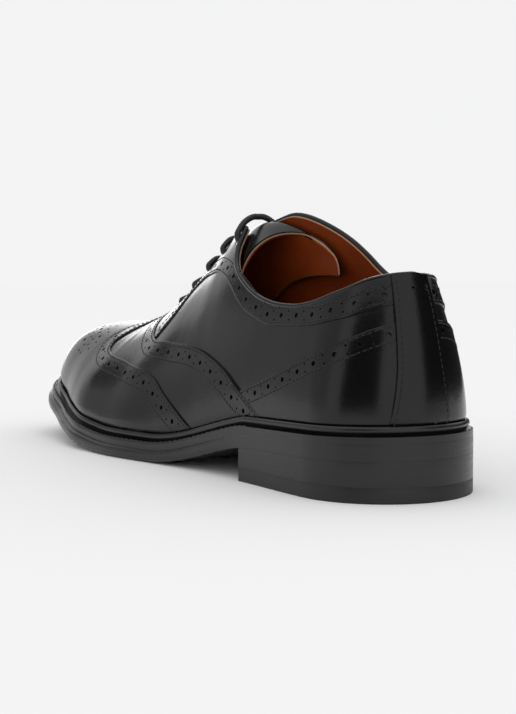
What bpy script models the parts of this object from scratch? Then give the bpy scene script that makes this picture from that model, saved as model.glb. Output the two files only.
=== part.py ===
# Full brogue oxford for the left foot, built as separate pieces around one last surface.
# Sizes are millimetres measured from the back of the heel. X points to the toe, Y to the
# outer side of the foot and Z up from the floor. world() turns them into metres.

import math

import bmesh
import bpy
import numpy as np

MM = 0.001
OBJECT_NAME = "brogue"
SIDES = {"lateral": 1.0, "medial": -1.0}

# Sole unit
SOLE_LENGTH = 304.0
HEEL_CENTRE = 40.0          # the frame's origin, on the floor under the heel
HEEL_BREAST = 84.0
HEEL_RISE = 16.4            # underside of the outsole at the back of the heel
HEEL_PITCH = 2.4            # how much lower it lies at the breast
ARCH_SLOPE = -0.16
FLAT_START = 158.0          # the forefoot rests on the floor between these two
FLAT_END = 186.0
TOE_SPRING = 23.5
TOE_SPRING_POWER = 1.5
TOP_PIECE_HEIGHT = 6.0
OUTSOLE_HEIGHT = 5.2
WELT_TOP = 9.1              # this and the next three lie above the underside of the outsole
BEAD_TOP = 12.8
UPPER_BASE = 9.9
INSOLE_TOP = 10.4
INSOLE_INSET = 1.0
WELT_INSET = 0.6
GAP = 0.3
SOLE_STEPS = 32
HEEL_STEPS = 13

# Leathers
UPPER_WALL = 1.8
OVERLAY_SEAT = 2.65         # overlays start this far from the inside of the upper
VAMP_THICKNESS = 0.9
WING_THICKNESS = 1.5
COUNTER_THICKNESS = 0.9
COUNTER_MARKS = (6.0, 67.0, 82.0)
COUNTER_ROWS = 4
BAND_THICKNESS = 0.7
BAND_MARKS = (6.0, 165.0, 172.0, 176.0, 184.0, 203.0)
BAND_ROWS = 4
STRIP_SEAT = 4.05
STRIP_THICKNESS = 0.7
STRIP_ROWS = 8
STRIP_COLUMNS = 4
TONGUE_GAP = 0.7            # below the inside of the upper
TONGUE_THICKNESS = 2.2
TONGUE_ROWS = 4
VAMP_COLUMNS = 8
WING_COLUMNS = 16
OVERLAY_LIFT = 4.4          # overlays start this far above the base of the upper
BUTT_GAP = 0.9              # between two overlays on one layer
EDGE_START = 0.03           # share of the wall's height at which their edges start

# Lace
LACE_RADIUS = 1.4
LACE_SEAT = 3.8             # lace rides this far from the inside of the upper
LACE_REACH = 11.0           # from the ridge to an eyelet
LACE_STATIONS = (131.0, 146.0, 160.5, 175.0, 189.0)
LACE_STEPS = 3

# Last
FEATHER_START = 6.0
FEATHER_END = SOLE_LENGTH - 10.0
HEEL_ROUND = 31.5
TOE_ROUND_START = 222.0
RIDGE_START = 40.0
RIDGE_END = 266.0
THROAT = 199.0              # on the ridge, where the facings end
FACING_TOP = 126.0
FACING_TOP_SPREAD = 25.0    # the corner of the collar is looked for within this reach
UPPER_ROWS = 11
ROW_CROWDING = 0.3          # rows lie closer over the shoulder of the wall
COLLAR_STEPS = 17
FACING_STEPS = 9
TOE_STEPS = 15
CLOSE_COLUMNS = 0.004       # two columns are never closer than this turn
SAMPLES = 401
TINY = 1e-6
STEP = 1e-4
SMOOTH_ANGLE = 35.0


def table(columns, *rows):
    return dict(zip(columns.split(), np.array(rows, float).T))


# Half widths of the last where it meets the welt
FEATHER = table(
    "x lateral medial",
    (0, 31.5, 31.5),
    (40, 31.5, 31.5),
    (85, 30.5, 27.0),
    (120, 32.0, 24.5),
    (150, 35.5, 28.5),
    (185, 40.3, 38.3),
    (212, 40.8, 44.0),
    (235, 37.2, 41.2),
    (255, 34.6, 37.0),
    (275, 36.5, 36.5),
    (SOLE_LENGTH, 42.0, 42.0),
)

# How far the sole and the welt stand out from that line
MARGIN = table(
    "x sole welt",
    (0, 6.0, 5.3),
    (85, 6.2, 5.4),
    (130, 7.2, 6.0),
    (200, 9.0, 7.0),
    (250, 9.3, 7.1),
    (SOLE_LENGTH, 10.3, 8.3),
)

# Side profiles, from the bottom up: inset from the edge of sole or welt, or reach from the welt line
TOP_PIECE_SIDE = table("inset height", (0.1, 0.0), (-0.6, 0.7), (-0.5, TOP_PIECE_HEIGHT))
HEEL_STACK_INSETS = (-0.4, 0.6)
OUTSOLE_SIDE = table("inset height", (2.4, 0), (0.7, 1.0), (0, 2.4), (0.1, 4.4), (0.8, OUTSOLE_HEIGHT))
WELT_SIDE = table("inset height", (0.2, OUTSOLE_HEIGHT + GAP), (0.0, WELT_TOP - 0.8), (0.5, WELT_TOP))
BEAD_SIDE = table(
    "reach height",
    (4.5, WELT_TOP),
    (4.4, BEAD_TOP - 0.7),
    (3.75, BEAD_TOP),
    (2.95, BEAD_TOP - 0.4),
    (2.6, WELT_TOP),
)

# Top line of the last, from the ankle over the instep to the toe
RIDGE = table(
    "x y z",
    (40, 0.0, 118.0),
    (70, -1.5, 118.0),
    (100, -3.0, 114.3),
    (126, -4.5, 107.4),
    (150, -5.5, 94.0),
    (180, -5.5, 76.5),
    (203, -4.5, 63.5),
    (225, -3.5, 57.2),
    (248, -2.0, 56.3),
    (266, -1.0, 53.2),
)

# How each wall leaves the welt and turns over to the ridge
WALL = table(
    "x lean_lateral lean_medial rise_lateral rise_medial turn_lateral turn_medial",
    (FEATHER_START, 2.5, 2.5, 0.34, 0.34, 0.46, 0.46),
    (40, 3.5, 1.5, 0.34, 0.32, 0.24, 0.22),
    (85, 4.0, 2.5, 0.35, 0.36, 0.34, 0.36),
    (130, 3.5, 3.0, 0.33, 0.37, 0.28, 0.38),
    (180, 3.0, 3.5, 0.32, 0.38, 0.24, 0.42),
    (215, 4.0, 4.0, 0.40, 0.44, 0.33, 0.44),
    (250, 0.0, 0.0, 0.62, 0.62, 0.50, 0.50),
    (297, -6.0, -6.0, 0.80, 0.80, 0.70, 0.70),
)

# Height of the collar above the floor
COLLAR = {
    "lateral": table(
        "x z",
        (0, 85.5),
        (15, 85.2),
        (20.5, 83.9),
        (34, 78.0),
        (51, 73.1),
        (60.5, 72.1),
        (71, 72.4),
        (82, 73.9),
        (95, 77.4),
        (106, 81.7),
        (114.5, 86.0),
        (120, 90.0),
        (125, 96.0),
        (128, 102.5),
        (131, 112.0),
    ),
    "medial": table(
        "x z",
        (0, 85.5),
        (15, 84.6),
        (30, 80.5),
        (42, 79.4),
        (52, 81.2),
        (60, 85.6),
        (69, 93.7),
        (75, 98.3),
        (81, 101.9),
        (88, 105.2),
        (95, 107.9),
        (102, 109.8),
        (110, 110.8),
        (122, 111.4),
        (140, 114.0),
    ),
}

# From the ridge to the edge of each facing
FACING_GAP = table(
    "x lateral medial",
    (100, 7.5, 4.0),
    (126, 6.5, 3.6),
    (140, 4.4, 3.2),
    (160, 2.6, 2.4),
    (185, 1.0, 1.0),
    (199, 0.0, 0.0),
)

# Tongue: place along the ridge, half width and how far its middle sinks below the instep
TONGUE = table(
    "x half sink",
    (107, 17.5, 7.4),
    (108.2, 20.0, 7.0),
    (111, 21.8, 6.0),
    (116, 22.3, 4.4),
    (122, 22.2, 2.7),
    (129, 22.0, 1.2),
    (137, 21.6, 0.3),
    (148, 21.0, 0.0),
    (160, 20.4, 0.0),
    (172, 19.8, 0.0),
    (184, 19.2, 0.0),
    (197, 18.6, 0.0),
    (209.5, 18.0, 0.0),
)
TONGUE_SLANT = 7.0          # its top edge runs this much further back on the inner side
TONGUE_SLANT_END = 137.0

# Edges of the overlays: share of the wall's height and place along the welt line
VAMP_EDGE = table(
    "height station",
    (0.0, 67.0),
    (0.063, 77.0),
    (0.138, 90.0),
    (0.211, 101.0),
    (0.331, 127.0),
    (0.424, 156.0),
    (0.479, 174.0),
    (0.62, 191.0),
    (0.82, 203.0),
    (1.0, 209.0),
)
WING_EDGE = table(
    "height station",
    (0.0, 121.0),
    (0.07, 129.0),
    (0.201, 147.0),
    (0.291, 161.0),
    (0.358, 179.0),
    (0.416, 196.0),
    (0.476, 216.0),
    (0.529, 226.0),
    (0.61, 230.5),
    (0.72, 229.0),
    (0.85, 223.0),
    (1.0, 215.0),
)
COUNTER_TOP = table(
    "station height",
    (FEATHER_START, 0.366),
    (9, 0.357),
    (24, 0.298),
    (53, 0.216),
    (88, 0.13),
)
BAND_EDGE = table(
    "station height",
    (FEATHER_START, 0.420),
    (10, 0.411),
    (23, 0.373),
    (49, 0.346),
    (69, 0.348),
    (91, 0.401),
    (118, 0.559),
    (140, 0.672),
    (158, 0.735),
    (165, 0.720),
    (172, 0.591),
    (176, 0.530),
    (191, 0.665),
    (203, 0.870),
)
STRIP_EDGE = table("height lateral medial", (0.0, 17.0, 7.5), (0.25, 13.6, 5.0), (0.6, 13.0, 4.5))

COLOURS = {
    "black_leather": ((0.012, 0.012, 0.013), 0.28),
    "black_edge": ((0.015, 0.014, 0.014), 0.40),
    "black_rubber": ((0.018, 0.018, 0.018), 0.60),
    "black_lace": ((0.010, 0.010, 0.011), 0.55),
    "tan_lining": ((0.36, 0.14, 0.045), 0.55),
}


def along(rows, key, value, column):
    # Smooth curve through the rows of a table, with no overshoot between them
    xs = rows[key]
    ys = rows[column]
    steps = np.diff(xs)
    slopes = np.diff(ys) / steps
    tangents = np.concatenate([slopes[:1], np.zeros(len(xs) - 2), slopes[-1:]])
    for i in range(1, len(xs) - 1):
        if slopes[i - 1] * slopes[i] > 0:
            before = 2 * steps[i] + steps[i - 1]
            after = steps[i] + 2 * steps[i - 1]
            tangents[i] = (before + after) / (before / slopes[i - 1] + after / slopes[i])
    value = np.clip(value, xs[0], xs[-1])
    k = np.clip(np.searchsorted(xs, value) - 1, 0, len(xs) - 2)
    t = (value - xs[k]) / steps[k]
    start = (1 + 2 * t) * (1 - t) ** 2 * ys[k] + t * (1 - t) ** 2 * steps[k] * tangents[k]
    end = t * t * (3 - 2 * t) * ys[k + 1] + t * t * (t - 1) * steps[k] * tangents[k + 1]
    return start + end


def world(points):
    return (np.asarray(points, float) - (HEEL_CENTRE, 0.0, 0.0)) * MM


def underside(x):
    # Underside of the outsole: heel seat, arch, flat forefoot, toe spring
    x = np.asarray(x, float)
    breast = HEEL_RISE - HEEL_PITCH
    seat = HEEL_RISE - HEEL_PITCH * x / HEEL_BREAST
    span = FLAT_START - HEEL_BREAST
    s = np.clip((x - HEEL_BREAST) / span, 0.0, 1.0)
    arch = breast * (1 - s) ** 2 * (1 + 2 * s) + ARCH_SLOPE * span * s * (1 - s) ** 2
    toe = np.clip((x - FLAT_END) / (SOLE_LENGTH - FLAT_END), 0.0, 1.0)
    return np.where(x < HEEL_BREAST, seat, arch) + TOE_SPRING * toe ** TOE_SPRING_POWER


def place(at):
    # Turn from 0 at the back of the heel to 1 at the tip of the toe
    share = (np.asarray(at, float) - FEATHER_START) / (FEATHER_END - FEATHER_START)
    return np.arccos(np.clip(1 - 2 * share, -1.0, 1.0)) / math.pi


def station(turn):
    return FEATHER_START + (FEATHER_END - FEATHER_START) * (1 - np.cos(math.pi * turn)) / 2


def feather_line(turn, side):
    x = station(turn)
    heel = np.clip(1 - (x - FEATHER_START) / HEEL_ROUND, 0.0, 1.0)
    toe = np.clip((x - TOE_ROUND_START) / (FEATHER_END - TOE_ROUND_START), 0.0, 1.0)
    rounding = np.sqrt((1 - heel ** 2) * (1 - toe ** 2))
    return np.stack([x, SIDES[side] * along(FEATHER, "x", x, side) * rounding], -1)


def outward(turn, side):
    ahead = feather_line(np.clip(turn + STEP, TINY, 1 - TINY), side)
    behind = feather_line(np.clip(turn - STEP, TINY, 1 - TINY), side)
    run = unit(ahead - behind)
    return SIDES[side] * np.stack([-run[..., 1], run[..., 0]], -1)


def ridge_x(at):
    # Point of the ridge that belongs to a station of the welt line
    return RIDGE_START + (RIDGE_END - RIDGE_START) * (at - FEATHER_START) / (FEATHER_END - FEATHER_START)


def ridge_slope(x):
    nose = np.clip(x + 0.5, RIDGE_START, RIDGE_END)
    tail = np.clip(x - 0.5, RIDGE_START, RIDGE_END)
    return (along(RIDGE, "x", nose, "z") - along(RIDGE, "x", tail, "z")) / (nose - tail)


def last_point(turn, height, side):
    # A wall of the last: height 0 at the welt, 1 on the ridge
    turn, height = np.broadcast_arrays(np.asarray(turn, float), np.asarray(height, float))
    line = feather_line(turn, side)
    base = np.stack([line[..., 0], line[..., 1], underside(line[..., 0]) + UPPER_BASE], -1)
    top_x = ridge_x(base[..., 0])
    top = np.stack([top_x, along(RIDGE, "x", top_x, "y"), along(RIDGE, "x", top_x, "z")], -1)
    slope = ridge_slope(top_x)
    lean = along(WALL, "x", base[..., 0], "lean_" + side)
    rise = along(WALL, "x", base[..., 0], "rise_" + side) * (top[..., 2] - base[..., 2])
    turn_over = along(WALL, "x", base[..., 0], "turn_" + side)
    across = base[..., :2] - top[..., :2]
    width = np.linalg.norm(across, axis=-1)
    away = across / np.maximum(width, TINY)[..., None]
    lower = base + np.stack([away[..., 0] * lean, away[..., 1] * lean, rise], -1)
    reach = away * (width * turn_over)[..., None]
    upper = top + np.stack([reach[..., 0], reach[..., 1], slope * reach[..., 0]], -1)
    h = height[..., None]
    start = (1 - h) ** 3 * base + 3 * h * (1 - h) ** 2 * lower
    return start + 3 * h * h * (1 - h) * upper + h ** 3 * top


def unit(vectors):
    return vectors / np.maximum(np.linalg.norm(vectors, axis=-1, keepdims=True), TINY ** 2)


def wall_normal(turn, height, side):
    after = last_point(np.clip(turn + STEP, STEP / 10, 1 - STEP / 10), height, side)
    before = last_point(np.clip(turn - STEP, STEP / 10, 1 - STEP / 10), height, side)
    above = last_point(turn, np.clip(height + STEP, 0.0, 1.0), side)
    below = last_point(turn, np.clip(height - STEP, 0.0, 1.0), side)
    return unit(np.cross(above - below, after - before) * SIDES[side])


def last_normal(turn, height, side):
    # On the ridge and on the centre lines both walls share one normal
    turn, height = np.broadcast_arrays(np.asarray(turn, float), np.asarray(height, float))
    own = wall_normal(turn, height, side)
    both = unit(wall_normal(turn, height, "lateral") + wall_normal(turn, height, "medial"))
    slope = ridge_slope(ridge_x(station(turn)))
    top = unit(np.stack([-slope, np.zeros_like(slope), np.ones_like(slope)], -1))
    centre = (turn < STEP) | (turn > 1 - STEP)
    normal = np.where(centre[..., None], both, own)
    return np.where((height > 1 - TINY)[..., None], top, normal)


def first_crossing(heights, values):
    # Lowest height at which a falling value passes zero, or the ridge
    for i in range(1, len(heights)):
        if values[i] <= 0:
            share = values[i - 1] / (values[i - 1] - values[i])
            return heights[i - 1] + share * (heights[i] - heights[i - 1])
    return heights[-1]


def from_ridge(wall, side):
    return SIDES[side] * (wall[:, 1] - along(RIDGE, "x", wall[:, 0], "y"))


def height_beside_ridge(turn, side, reach):
    # Height at which the wall comes this close to the ridge
    heights = np.linspace(0.0, 1.0, SAMPLES)
    return first_crossing(heights, from_ridge(last_point(turn, heights, side), side) - reach)


def topline_parts(turn, side):
    heights = np.linspace(0.0, 1.0, SAMPLES)
    wall = last_point(turn, heights, side)
    below_collar = along(COLLAR[side], "x", wall[:, 0], "z") - wall[:, 2]
    collar = first_crossing(heights, np.where(wall[:, 0] > COLLAR[side]["x"][-1], 1.0, below_collar))
    if turn < ridge_turn(FACING_GAP["x"][0]):
        return collar, 1.0
    gap = along(FACING_GAP, "x", wall[:, 0], side)
    return collar, first_crossing(heights, from_ridge(wall, side) - gap)


def topline(turn, side):
    # Height at which the wall ends: collar, facing edge or ridge
    ends = []
    for one in np.ravel(turn):
        if one >= THROAT_TURN - TINY:
            ends.append(1.0)
        elif one < TINY:
            ends.append(sum(min(topline_parts(one, both)) for both in SIDES) / 2)
        else:
            ends.append(min(topline_parts(one, side)))
    return np.array(ends).reshape(np.shape(turn))


def ridge_turn(x):
    share = (x - RIDGE_START) / (RIDGE_END - RIDGE_START)
    return float(place(FEATHER_START + share * (FEATHER_END - FEATHER_START)))


def collar_corner(side):
    # Turn at which the collar meets the top of the facing
    low = ridge_turn(FACING_TOP - FACING_TOP_SPREAD)
    high = ridge_turn(FACING_TOP + FACING_TOP_SPREAD)
    for _ in range(40):
        middle = (low + high) / 2
        collar, facing = topline_parts(middle, side)
        if collar < facing:
            low = middle
        else:
            high = middle
    return (low + high) / 2


def lifted(turn, side):
    # Height just above the bead of the welt
    x = station(turn)
    wall = along(RIDGE, "x", ridge_x(x), "z") - underside(x) - UPPER_BASE
    return OVERLAY_LIFT / (3 * along(WALL, "x", x, "rise_" + side) * wall)


THROAT_TURN = ridge_turn(THROAT)


def clear_scene():
    for old in list(bpy.data.objects):
        bpy.data.objects.remove(old, do_unlink=True)


def make_material(name):
    colour, roughness = COLOURS[name]
    material = bpy.data.materials.new(name)
    material.use_nodes = True
    shader = material.node_tree.nodes["Principled BSDF"]
    shader.inputs["Base Color"].default_value = (*colour, 1.0)
    shader.inputs["Roughness"].default_value = roughness
    shader.inputs["Metallic"].default_value = 0.0
    return material


def add_mesh(name, points, faces, material):
    mesh = bpy.data.meshes.new(name)
    mesh.from_pydata([tuple(p) for p in world(points)], [], faces)
    shape = bmesh.new()
    shape.from_mesh(mesh)
    bmesh.ops.remove_doubles(shape, verts=shape.verts, dist=0.01 * MM)
    shape.to_mesh(mesh)
    shape.free()
    piece = bpy.data.objects.new(name, mesh)
    mesh.materials.append(material)
    mesh.shade_smooth()
    mesh.set_sharp_from_angle(angle=math.radians(SMOOTH_ANGLE))
    shoe.objects.link(piece)
    return piece


def grid_faces(columns, rows, first, flip):
    faces = []
    for i in range(columns - 1):
        for j in range(rows - 1):
            a = first + i * rows + j
            face = (a, a + 1, a + rows + 1, a + rows)
            faces.append(face[::-1] if flip else face)
    return faces


def add_shell(name, grids, seat, thickness, material):
    # Sheet of leather over the last: each grid is (turns, heights, side), the seat one or a grid
    points = []
    faces = []
    for turns, heights, side in grids:
        rise = np.broadcast_to(seat, turns.shape)[..., None]
        skin = last_point(turns, heights, side) + rise * last_normal(turns, heights, side)
        columns, rows = turns.shape
        faces += grid_faces(columns, rows, len(points), side == "medial")
        points += list(skin.reshape(-1, 3))
    piece = add_mesh(name, points, faces, material)
    shell = piece.modifiers.new("thickness", "SOLIDIFY")
    shell.thickness = thickness * MM
    shell.offset = 1.0
    return piece


def ring(turns, reach, height, closed_toe):
    # Loop around the sole: outer side forward, inner side back
    back = turns[-2:0:-1] if closed_toe else turns[:0:-1]
    loop = []
    for side, part in (("lateral", turns), ("medial", back)):
        line = feather_line(part, side)
        flat = line + outward(part, side) * reach(line[:, 0])[:, None]
        loop += list(np.column_stack([flat, height(line[:, 0])]))
    return loop


def ladder(count, first, flip):
    # Rungs across a loop, from the heel to the toe
    faces = []
    for i in range(count // 2):
        corners = (i, i + 1, count - i - 1, (count - i) % count)
        face = [first + c for c in dict.fromkeys(corners)]
        faces.append(face[::-1] if flip else face)
    return faces


def tube_faces(loops, count, closed):
    faces = []
    for k in range(loops if closed else loops - 1):
        low = k * count
        high = (k + 1) % loops * count
        for i in range(count):
            j = (i + 1) % count
            faces.append((low + i, high + i, high + j, low + j))
    return faces


def add_plate(name, loops, material):
    count = len(loops[0])
    faces = tube_faces(len(loops), count, False)
    faces += ladder(count, 0, False)
    faces += ladder(count, (len(loops) - 1) * count, True)
    piece = add_mesh(name, [p for loop in loops for p in loop], faces, material)
    face_out(piece)
    return piece


def face_out(piece):
    shape = bmesh.new()
    shape.from_mesh(piece.data)
    bmesh.ops.recalc_face_normals(shape, faces=shape.faces)
    shape.to_mesh(piece.data)
    shape.free()


def edge_ring(turns, inset, height, closed_toe, edge="sole"):
    return ring(turns, lambda x: along(MARGIN, "x", x, edge) - inset, height, closed_toe)


def welt_ring(turns, reach, height):
    return ring(turns, lambda x: np.full_like(x, reach), above_underside(height), True)


def above_underside(height):
    return lambda x: underside(x) + height


def level(height):
    return lambda x: np.full_like(x, height)


def profile_rows(profile):
    return list(zip(*profile.values()))


def add_heel():
    turns = np.linspace(0.0, float(place(HEEL_BREAST)), HEEL_STEPS + 1)
    rows = profile_rows(TOP_PIECE_SIDE)
    base = [edge_ring(turns, inset, level(height), False) for inset, height in rows]
    add_plate("heel_top_piece", base, make_material("black_rubber"))
    low, high = HEEL_STACK_INSETS
    stack = [edge_ring(turns, low, level(TOP_PIECE_HEIGHT + GAP), False)]
    stack.append(edge_ring(turns, high, above_underside(-GAP), False))
    add_plate("heel_stack", stack, make_material("black_edge"))


def add_sole():
    turns = np.linspace(0.0, 1.0, SOLE_STEPS + 1)
    edge = make_material("black_edge")
    rows = profile_rows(OUTSOLE_SIDE)
    tread = [edge_ring(turns, inset, above_underside(height), True) for inset, height in rows]
    add_plate("outsole", tread, edge)

    floor = OUTSOLE_HEIGHT + GAP
    rim = [welt_ring(turns, -WELT_INSET, floor)]
    rows = profile_rows(WELT_SIDE)
    rim += [edge_ring(turns, inset, above_underside(height), True, "welt") for inset, height in rows]
    rim += [welt_ring(turns, reach, height) for reach, height in profile_rows(BEAD_SIDE)]
    rim.append(welt_ring(turns, -WELT_INSET, WELT_TOP))
    points = [point for loop in rim for point in loop]
    face_out(add_mesh("welt", points, tube_faces(len(rim), len(rim[0]), True), edge))

    board = [welt_ring(turns, -INSOLE_INSET, height) for height in (floor, INSOLE_TOP)]
    add_plate("insole", board, make_material("tan_lining"))


def wall_turns(side):
    # Columns of the upper, with one at the corner of collar and facing
    corner = collar_corner(side)
    return np.concatenate([
        np.linspace(0.0, corner, COLLAR_STEPS + 1)[:-1],
        np.linspace(corner, THROAT_TURN, FACING_STEPS + 1)[:-1],
        np.linspace(THROAT_TURN, 1.0, TOE_STEPS + 1),
    ])


def wall_rows():
    even = np.linspace(0.0, 1.0, UPPER_ROWS + 1)
    return even + ROW_CROWDING * np.sin(2 * math.pi * even) / (2 * math.pi)


def add_upper(leather):
    shares = wall_rows()
    grids = []
    for side in SIDES:
        turns = wall_turns(side)
        heights = topline(turns, side)[:, None] * shares[None, :]
        grids.append((np.repeat(turns[:, None], len(shares), 1), heights, side))
    add_shell("upper", grids, 0.0, UPPER_WALL, leather)


def between_edges(rear, front, columns):
    # Panel between two edges that cross the shoe from welt to ridge, on the upper's own rows
    shares = wall_rows()
    marks = np.maximum(shares, EDGE_START)
    steps = np.linspace(0.0, 1.0, columns + 1)
    grids = []
    for side in SIDES:
        start = rear(marks)
        end = front(marks)
        turns = start[None, :] + (end - start)[None, :] * steps[:, None]
        heights = np.maximum(topline(turns, side) * shares[None, :], lifted(turns, side))
        grids.append((turns, heights, side))
    return grids


def edge_turn(edge, shift):
    return lambda height: place(along(edge, "height", height, "station") + shift)


def add_forepart(leather):
    vamp_rear = edge_turn(VAMP_EDGE, 0.0)
    vamp_front = edge_turn(WING_EDGE, -BUTT_GAP)
    wing_rear = edge_turn(WING_EDGE, 0.0)
    vamp = between_edges(vamp_rear, vamp_front, VAMP_COLUMNS)
    wing = between_edges(wing_rear, np.ones_like, WING_COLUMNS)
    add_shell("vamp", vamp, OVERLAY_SEAT, VAMP_THICKNESS, leather)
    add_shell("wing_cap", wing, OVERLAY_SEAT, WING_THICKNESS, leather)


def vamp_height(at, shift):
    # Height of the rear edge of the vamp over a station of the welt line
    heights = np.linspace(0.0, 1.0, SAMPLES)
    stations = along(VAMP_EDGE, "height", heights, "station") + shift
    return np.interp(at, stations, heights)


def columns_between(marks, low, high, rows):
    # Panel on the upper's own columns, with more columns at the marks, up to the last mark
    shares = np.linspace(0.0, 1.0, rows + 1)
    grids = []
    for side in SIDES:
        extra = place(np.array(marks))
        own = [t for t in wall_turns(side) if t < extra[-1] and abs(extra - t).min() > CLOSE_COLUMNS]
        turns = np.sort(np.concatenate([own, extra]))
        bottom = low(turns, side)
        top = high(turns, side)
        heights = bottom[:, None] + (top - bottom)[:, None] * shares[None, :]
        grids.append((np.repeat(turns[:, None], rows + 1, 1), heights, side))
    return grids


def add_counter(leather):
    def low(turns, side):
        return np.maximum(lifted(turns, side), vamp_height(station(turns), -2 * BUTT_GAP))
    def high(turns, side):
        return along(COUNTER_TOP, "station", station(turns), "height")
    grids = columns_between(COUNTER_MARKS, low, high, COUNTER_ROWS)
    add_shell("counter", grids, OVERLAY_SEAT, COUNTER_THICKNESS, leather)


def add_facing_band(leather):
    def low(turns, side):
        return along(BAND_EDGE, "station", station(turns), "height")
    grids = columns_between(BAND_MARKS, low, topline, BAND_ROWS)
    add_shell("facing_band", grids, OVERLAY_SEAT, BAND_THICKNESS, leather)


def add_back_strip(leather):
    # The back seam follows the heel's own axis, which points a little to the outer side
    rows = np.linspace(0.0, 1.0, STRIP_ROWS + 1)
    columns = np.linspace(0.0, 1.0, STRIP_COLUMNS + 1)
    grids = []
    for side in SIDES:
        top = topline(np.array([0.0]), side)[0]
        low = lifted(np.array([0.0]), side)[0]
        heights = low + (top - low) * rows
        reach = along(STRIP_EDGE, "height", heights, side)
        depth = HEEL_ROUND * (1 - np.sqrt(1 - (reach / HEEL_ROUND) ** 2))
        half = place(FEATHER_START + depth)
        turns = half[None, :] * columns[:, None]
        grids.append((turns, np.minimum(topline(turns, side), heights[None, :]), side))
    add_shell("back_strip", grids, STRIP_SEAT, STRIP_THICKNESS, leather)


def add_tongue(leather):
    # An arch from edge to edge, lower in the middle where it stands free above the facings
    shares = np.linspace(0.0, 1.0, TONGUE_ROWS + 1)
    span = TONGUE_SLANT_END - TONGUE["x"][0]
    slant = TONGUE_SLANT * np.clip((TONGUE_SLANT_END - TONGUE["x"]) / span, 0.0, 1.0)
    grids = []
    for side in SIDES:
        places = TONGUE["x"][:, None] + SIDES[side] * slant[:, None] * (1 - shares)[None, :]
        turns = np.array([[ridge_turn(x) for x in row] for row in places])
        edges = [height_beside_ridge(row[0], side, half) for row, half in zip(turns, TONGUE["half"])]
        heights = np.array([edge + (1 - edge) * shares for edge in edges])
        grids.append((turns, heights, side))
    seat = -TONGUE_GAP - TONGUE_THICKNESS - TONGUE["sink"][:, None] * (shares * (2 - shares))[None, :]
    add_shell("tongue", grids, seat, TONGUE_THICKNESS, leather)


def lace_path(x):
    # From one eyelet over the ridge to the other
    turn = ridge_turn(x)
    seat = LACE_SEAT + LACE_RADIUS
    path = []
    for side in SIDES:
        reaches = LACE_REACH * np.linspace(1.0, 0.0, LACE_STEPS + 1)
        marks = np.array([height_beside_ridge(turn, side, reach) for reach in reaches])
        path.append(last_point(turn, marks, side) + seat * last_normal(turn, marks, side))
    return np.concatenate([path[0], path[1][-2::-1]])


def add_lace():
    material = make_material("black_lace")
    for number, x in enumerate(LACE_STATIONS, 1):
        path = world(lace_path(x))
        name = f"lace_bar_{number}"
        curve = bpy.data.curves.new(name, "CURVE")
        curve.dimensions = "3D"
        spline = curve.splines.new("POLY")
        spline.points.add(len(path) - 1)
        for point, place_m in zip(spline.points, path):
            point.co = (*place_m, 1.0)
        curve.bevel_depth = LACE_RADIUS * MM
        curve.bevel_resolution = 2
        curve.use_fill_caps = True
        curve.materials.append(material)
        shoe.objects.link(bpy.data.objects.new(name, curve))


clear_scene()
shoe = bpy.data.collections.new(OBJECT_NAME)
bpy.context.scene.collection.children.link(shoe)
add_heel()
add_sole()
black = make_material("black_leather")
add_upper(black)
add_tongue(black)
add_forepart(black)
add_counter(black)
add_facing_band(black)
add_back_strip(black)
add_lace()
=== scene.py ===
import math

import bmesh
import bpy
import numpy as np
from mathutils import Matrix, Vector
from mathutils.geometry import delaunay_2d_cdt
from mathutils.kdtree import KDTree

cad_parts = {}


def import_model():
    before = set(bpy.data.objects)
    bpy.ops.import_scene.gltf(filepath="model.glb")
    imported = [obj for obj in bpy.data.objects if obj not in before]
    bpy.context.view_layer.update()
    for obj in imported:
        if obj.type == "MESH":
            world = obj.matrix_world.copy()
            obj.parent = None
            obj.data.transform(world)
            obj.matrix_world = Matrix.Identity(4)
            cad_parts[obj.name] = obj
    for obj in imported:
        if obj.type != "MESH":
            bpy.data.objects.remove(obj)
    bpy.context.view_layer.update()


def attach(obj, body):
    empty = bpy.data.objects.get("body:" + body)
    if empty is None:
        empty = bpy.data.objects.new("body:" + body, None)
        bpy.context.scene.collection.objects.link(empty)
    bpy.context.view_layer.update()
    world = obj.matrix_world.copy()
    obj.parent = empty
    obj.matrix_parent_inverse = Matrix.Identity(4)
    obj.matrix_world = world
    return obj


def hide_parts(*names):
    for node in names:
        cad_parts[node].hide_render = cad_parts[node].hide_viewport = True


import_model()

# Lengths below are millimetres from the back of the heel, as the pattern maker measures
# them: x to the toe, y to the outer side of the foot, z up from the floor.
mm = 0.001
heelCentre = 40.0
sides = {"lateral": 1.0, "medial": -1.0}
chartScale = np.array([340.0, 95.0])  # turn and height in millimetres, roughly


def table(columns, *rows):
    # named columns, each with the slopes of a smooth curve through its rows, with no overshoot
    names, values = columns.split(), np.array(rows, float).T
    xs = values[0]
    steps = np.diff(xs)
    made = {names[0]: xs, "steps": steps, "slopes": {}}
    for name, ys in zip(names[1:], values[1:]):
        slopes = np.diff(ys) / steps
        tangents = np.concatenate([slopes[:1], np.zeros(len(xs) - 2), slopes[-1:]])
        for i in range(1, len(xs) - 1):
            if slopes[i - 1] * slopes[i] > 0:
                before = 2 * steps[i] + steps[i - 1]
                after = steps[i] + 2 * steps[i - 1]
                tangents[i] = (before + after) / (before / slopes[i - 1] + after / slopes[i])
        made[name], made["slopes"][name] = ys, tangents
    return made


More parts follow.
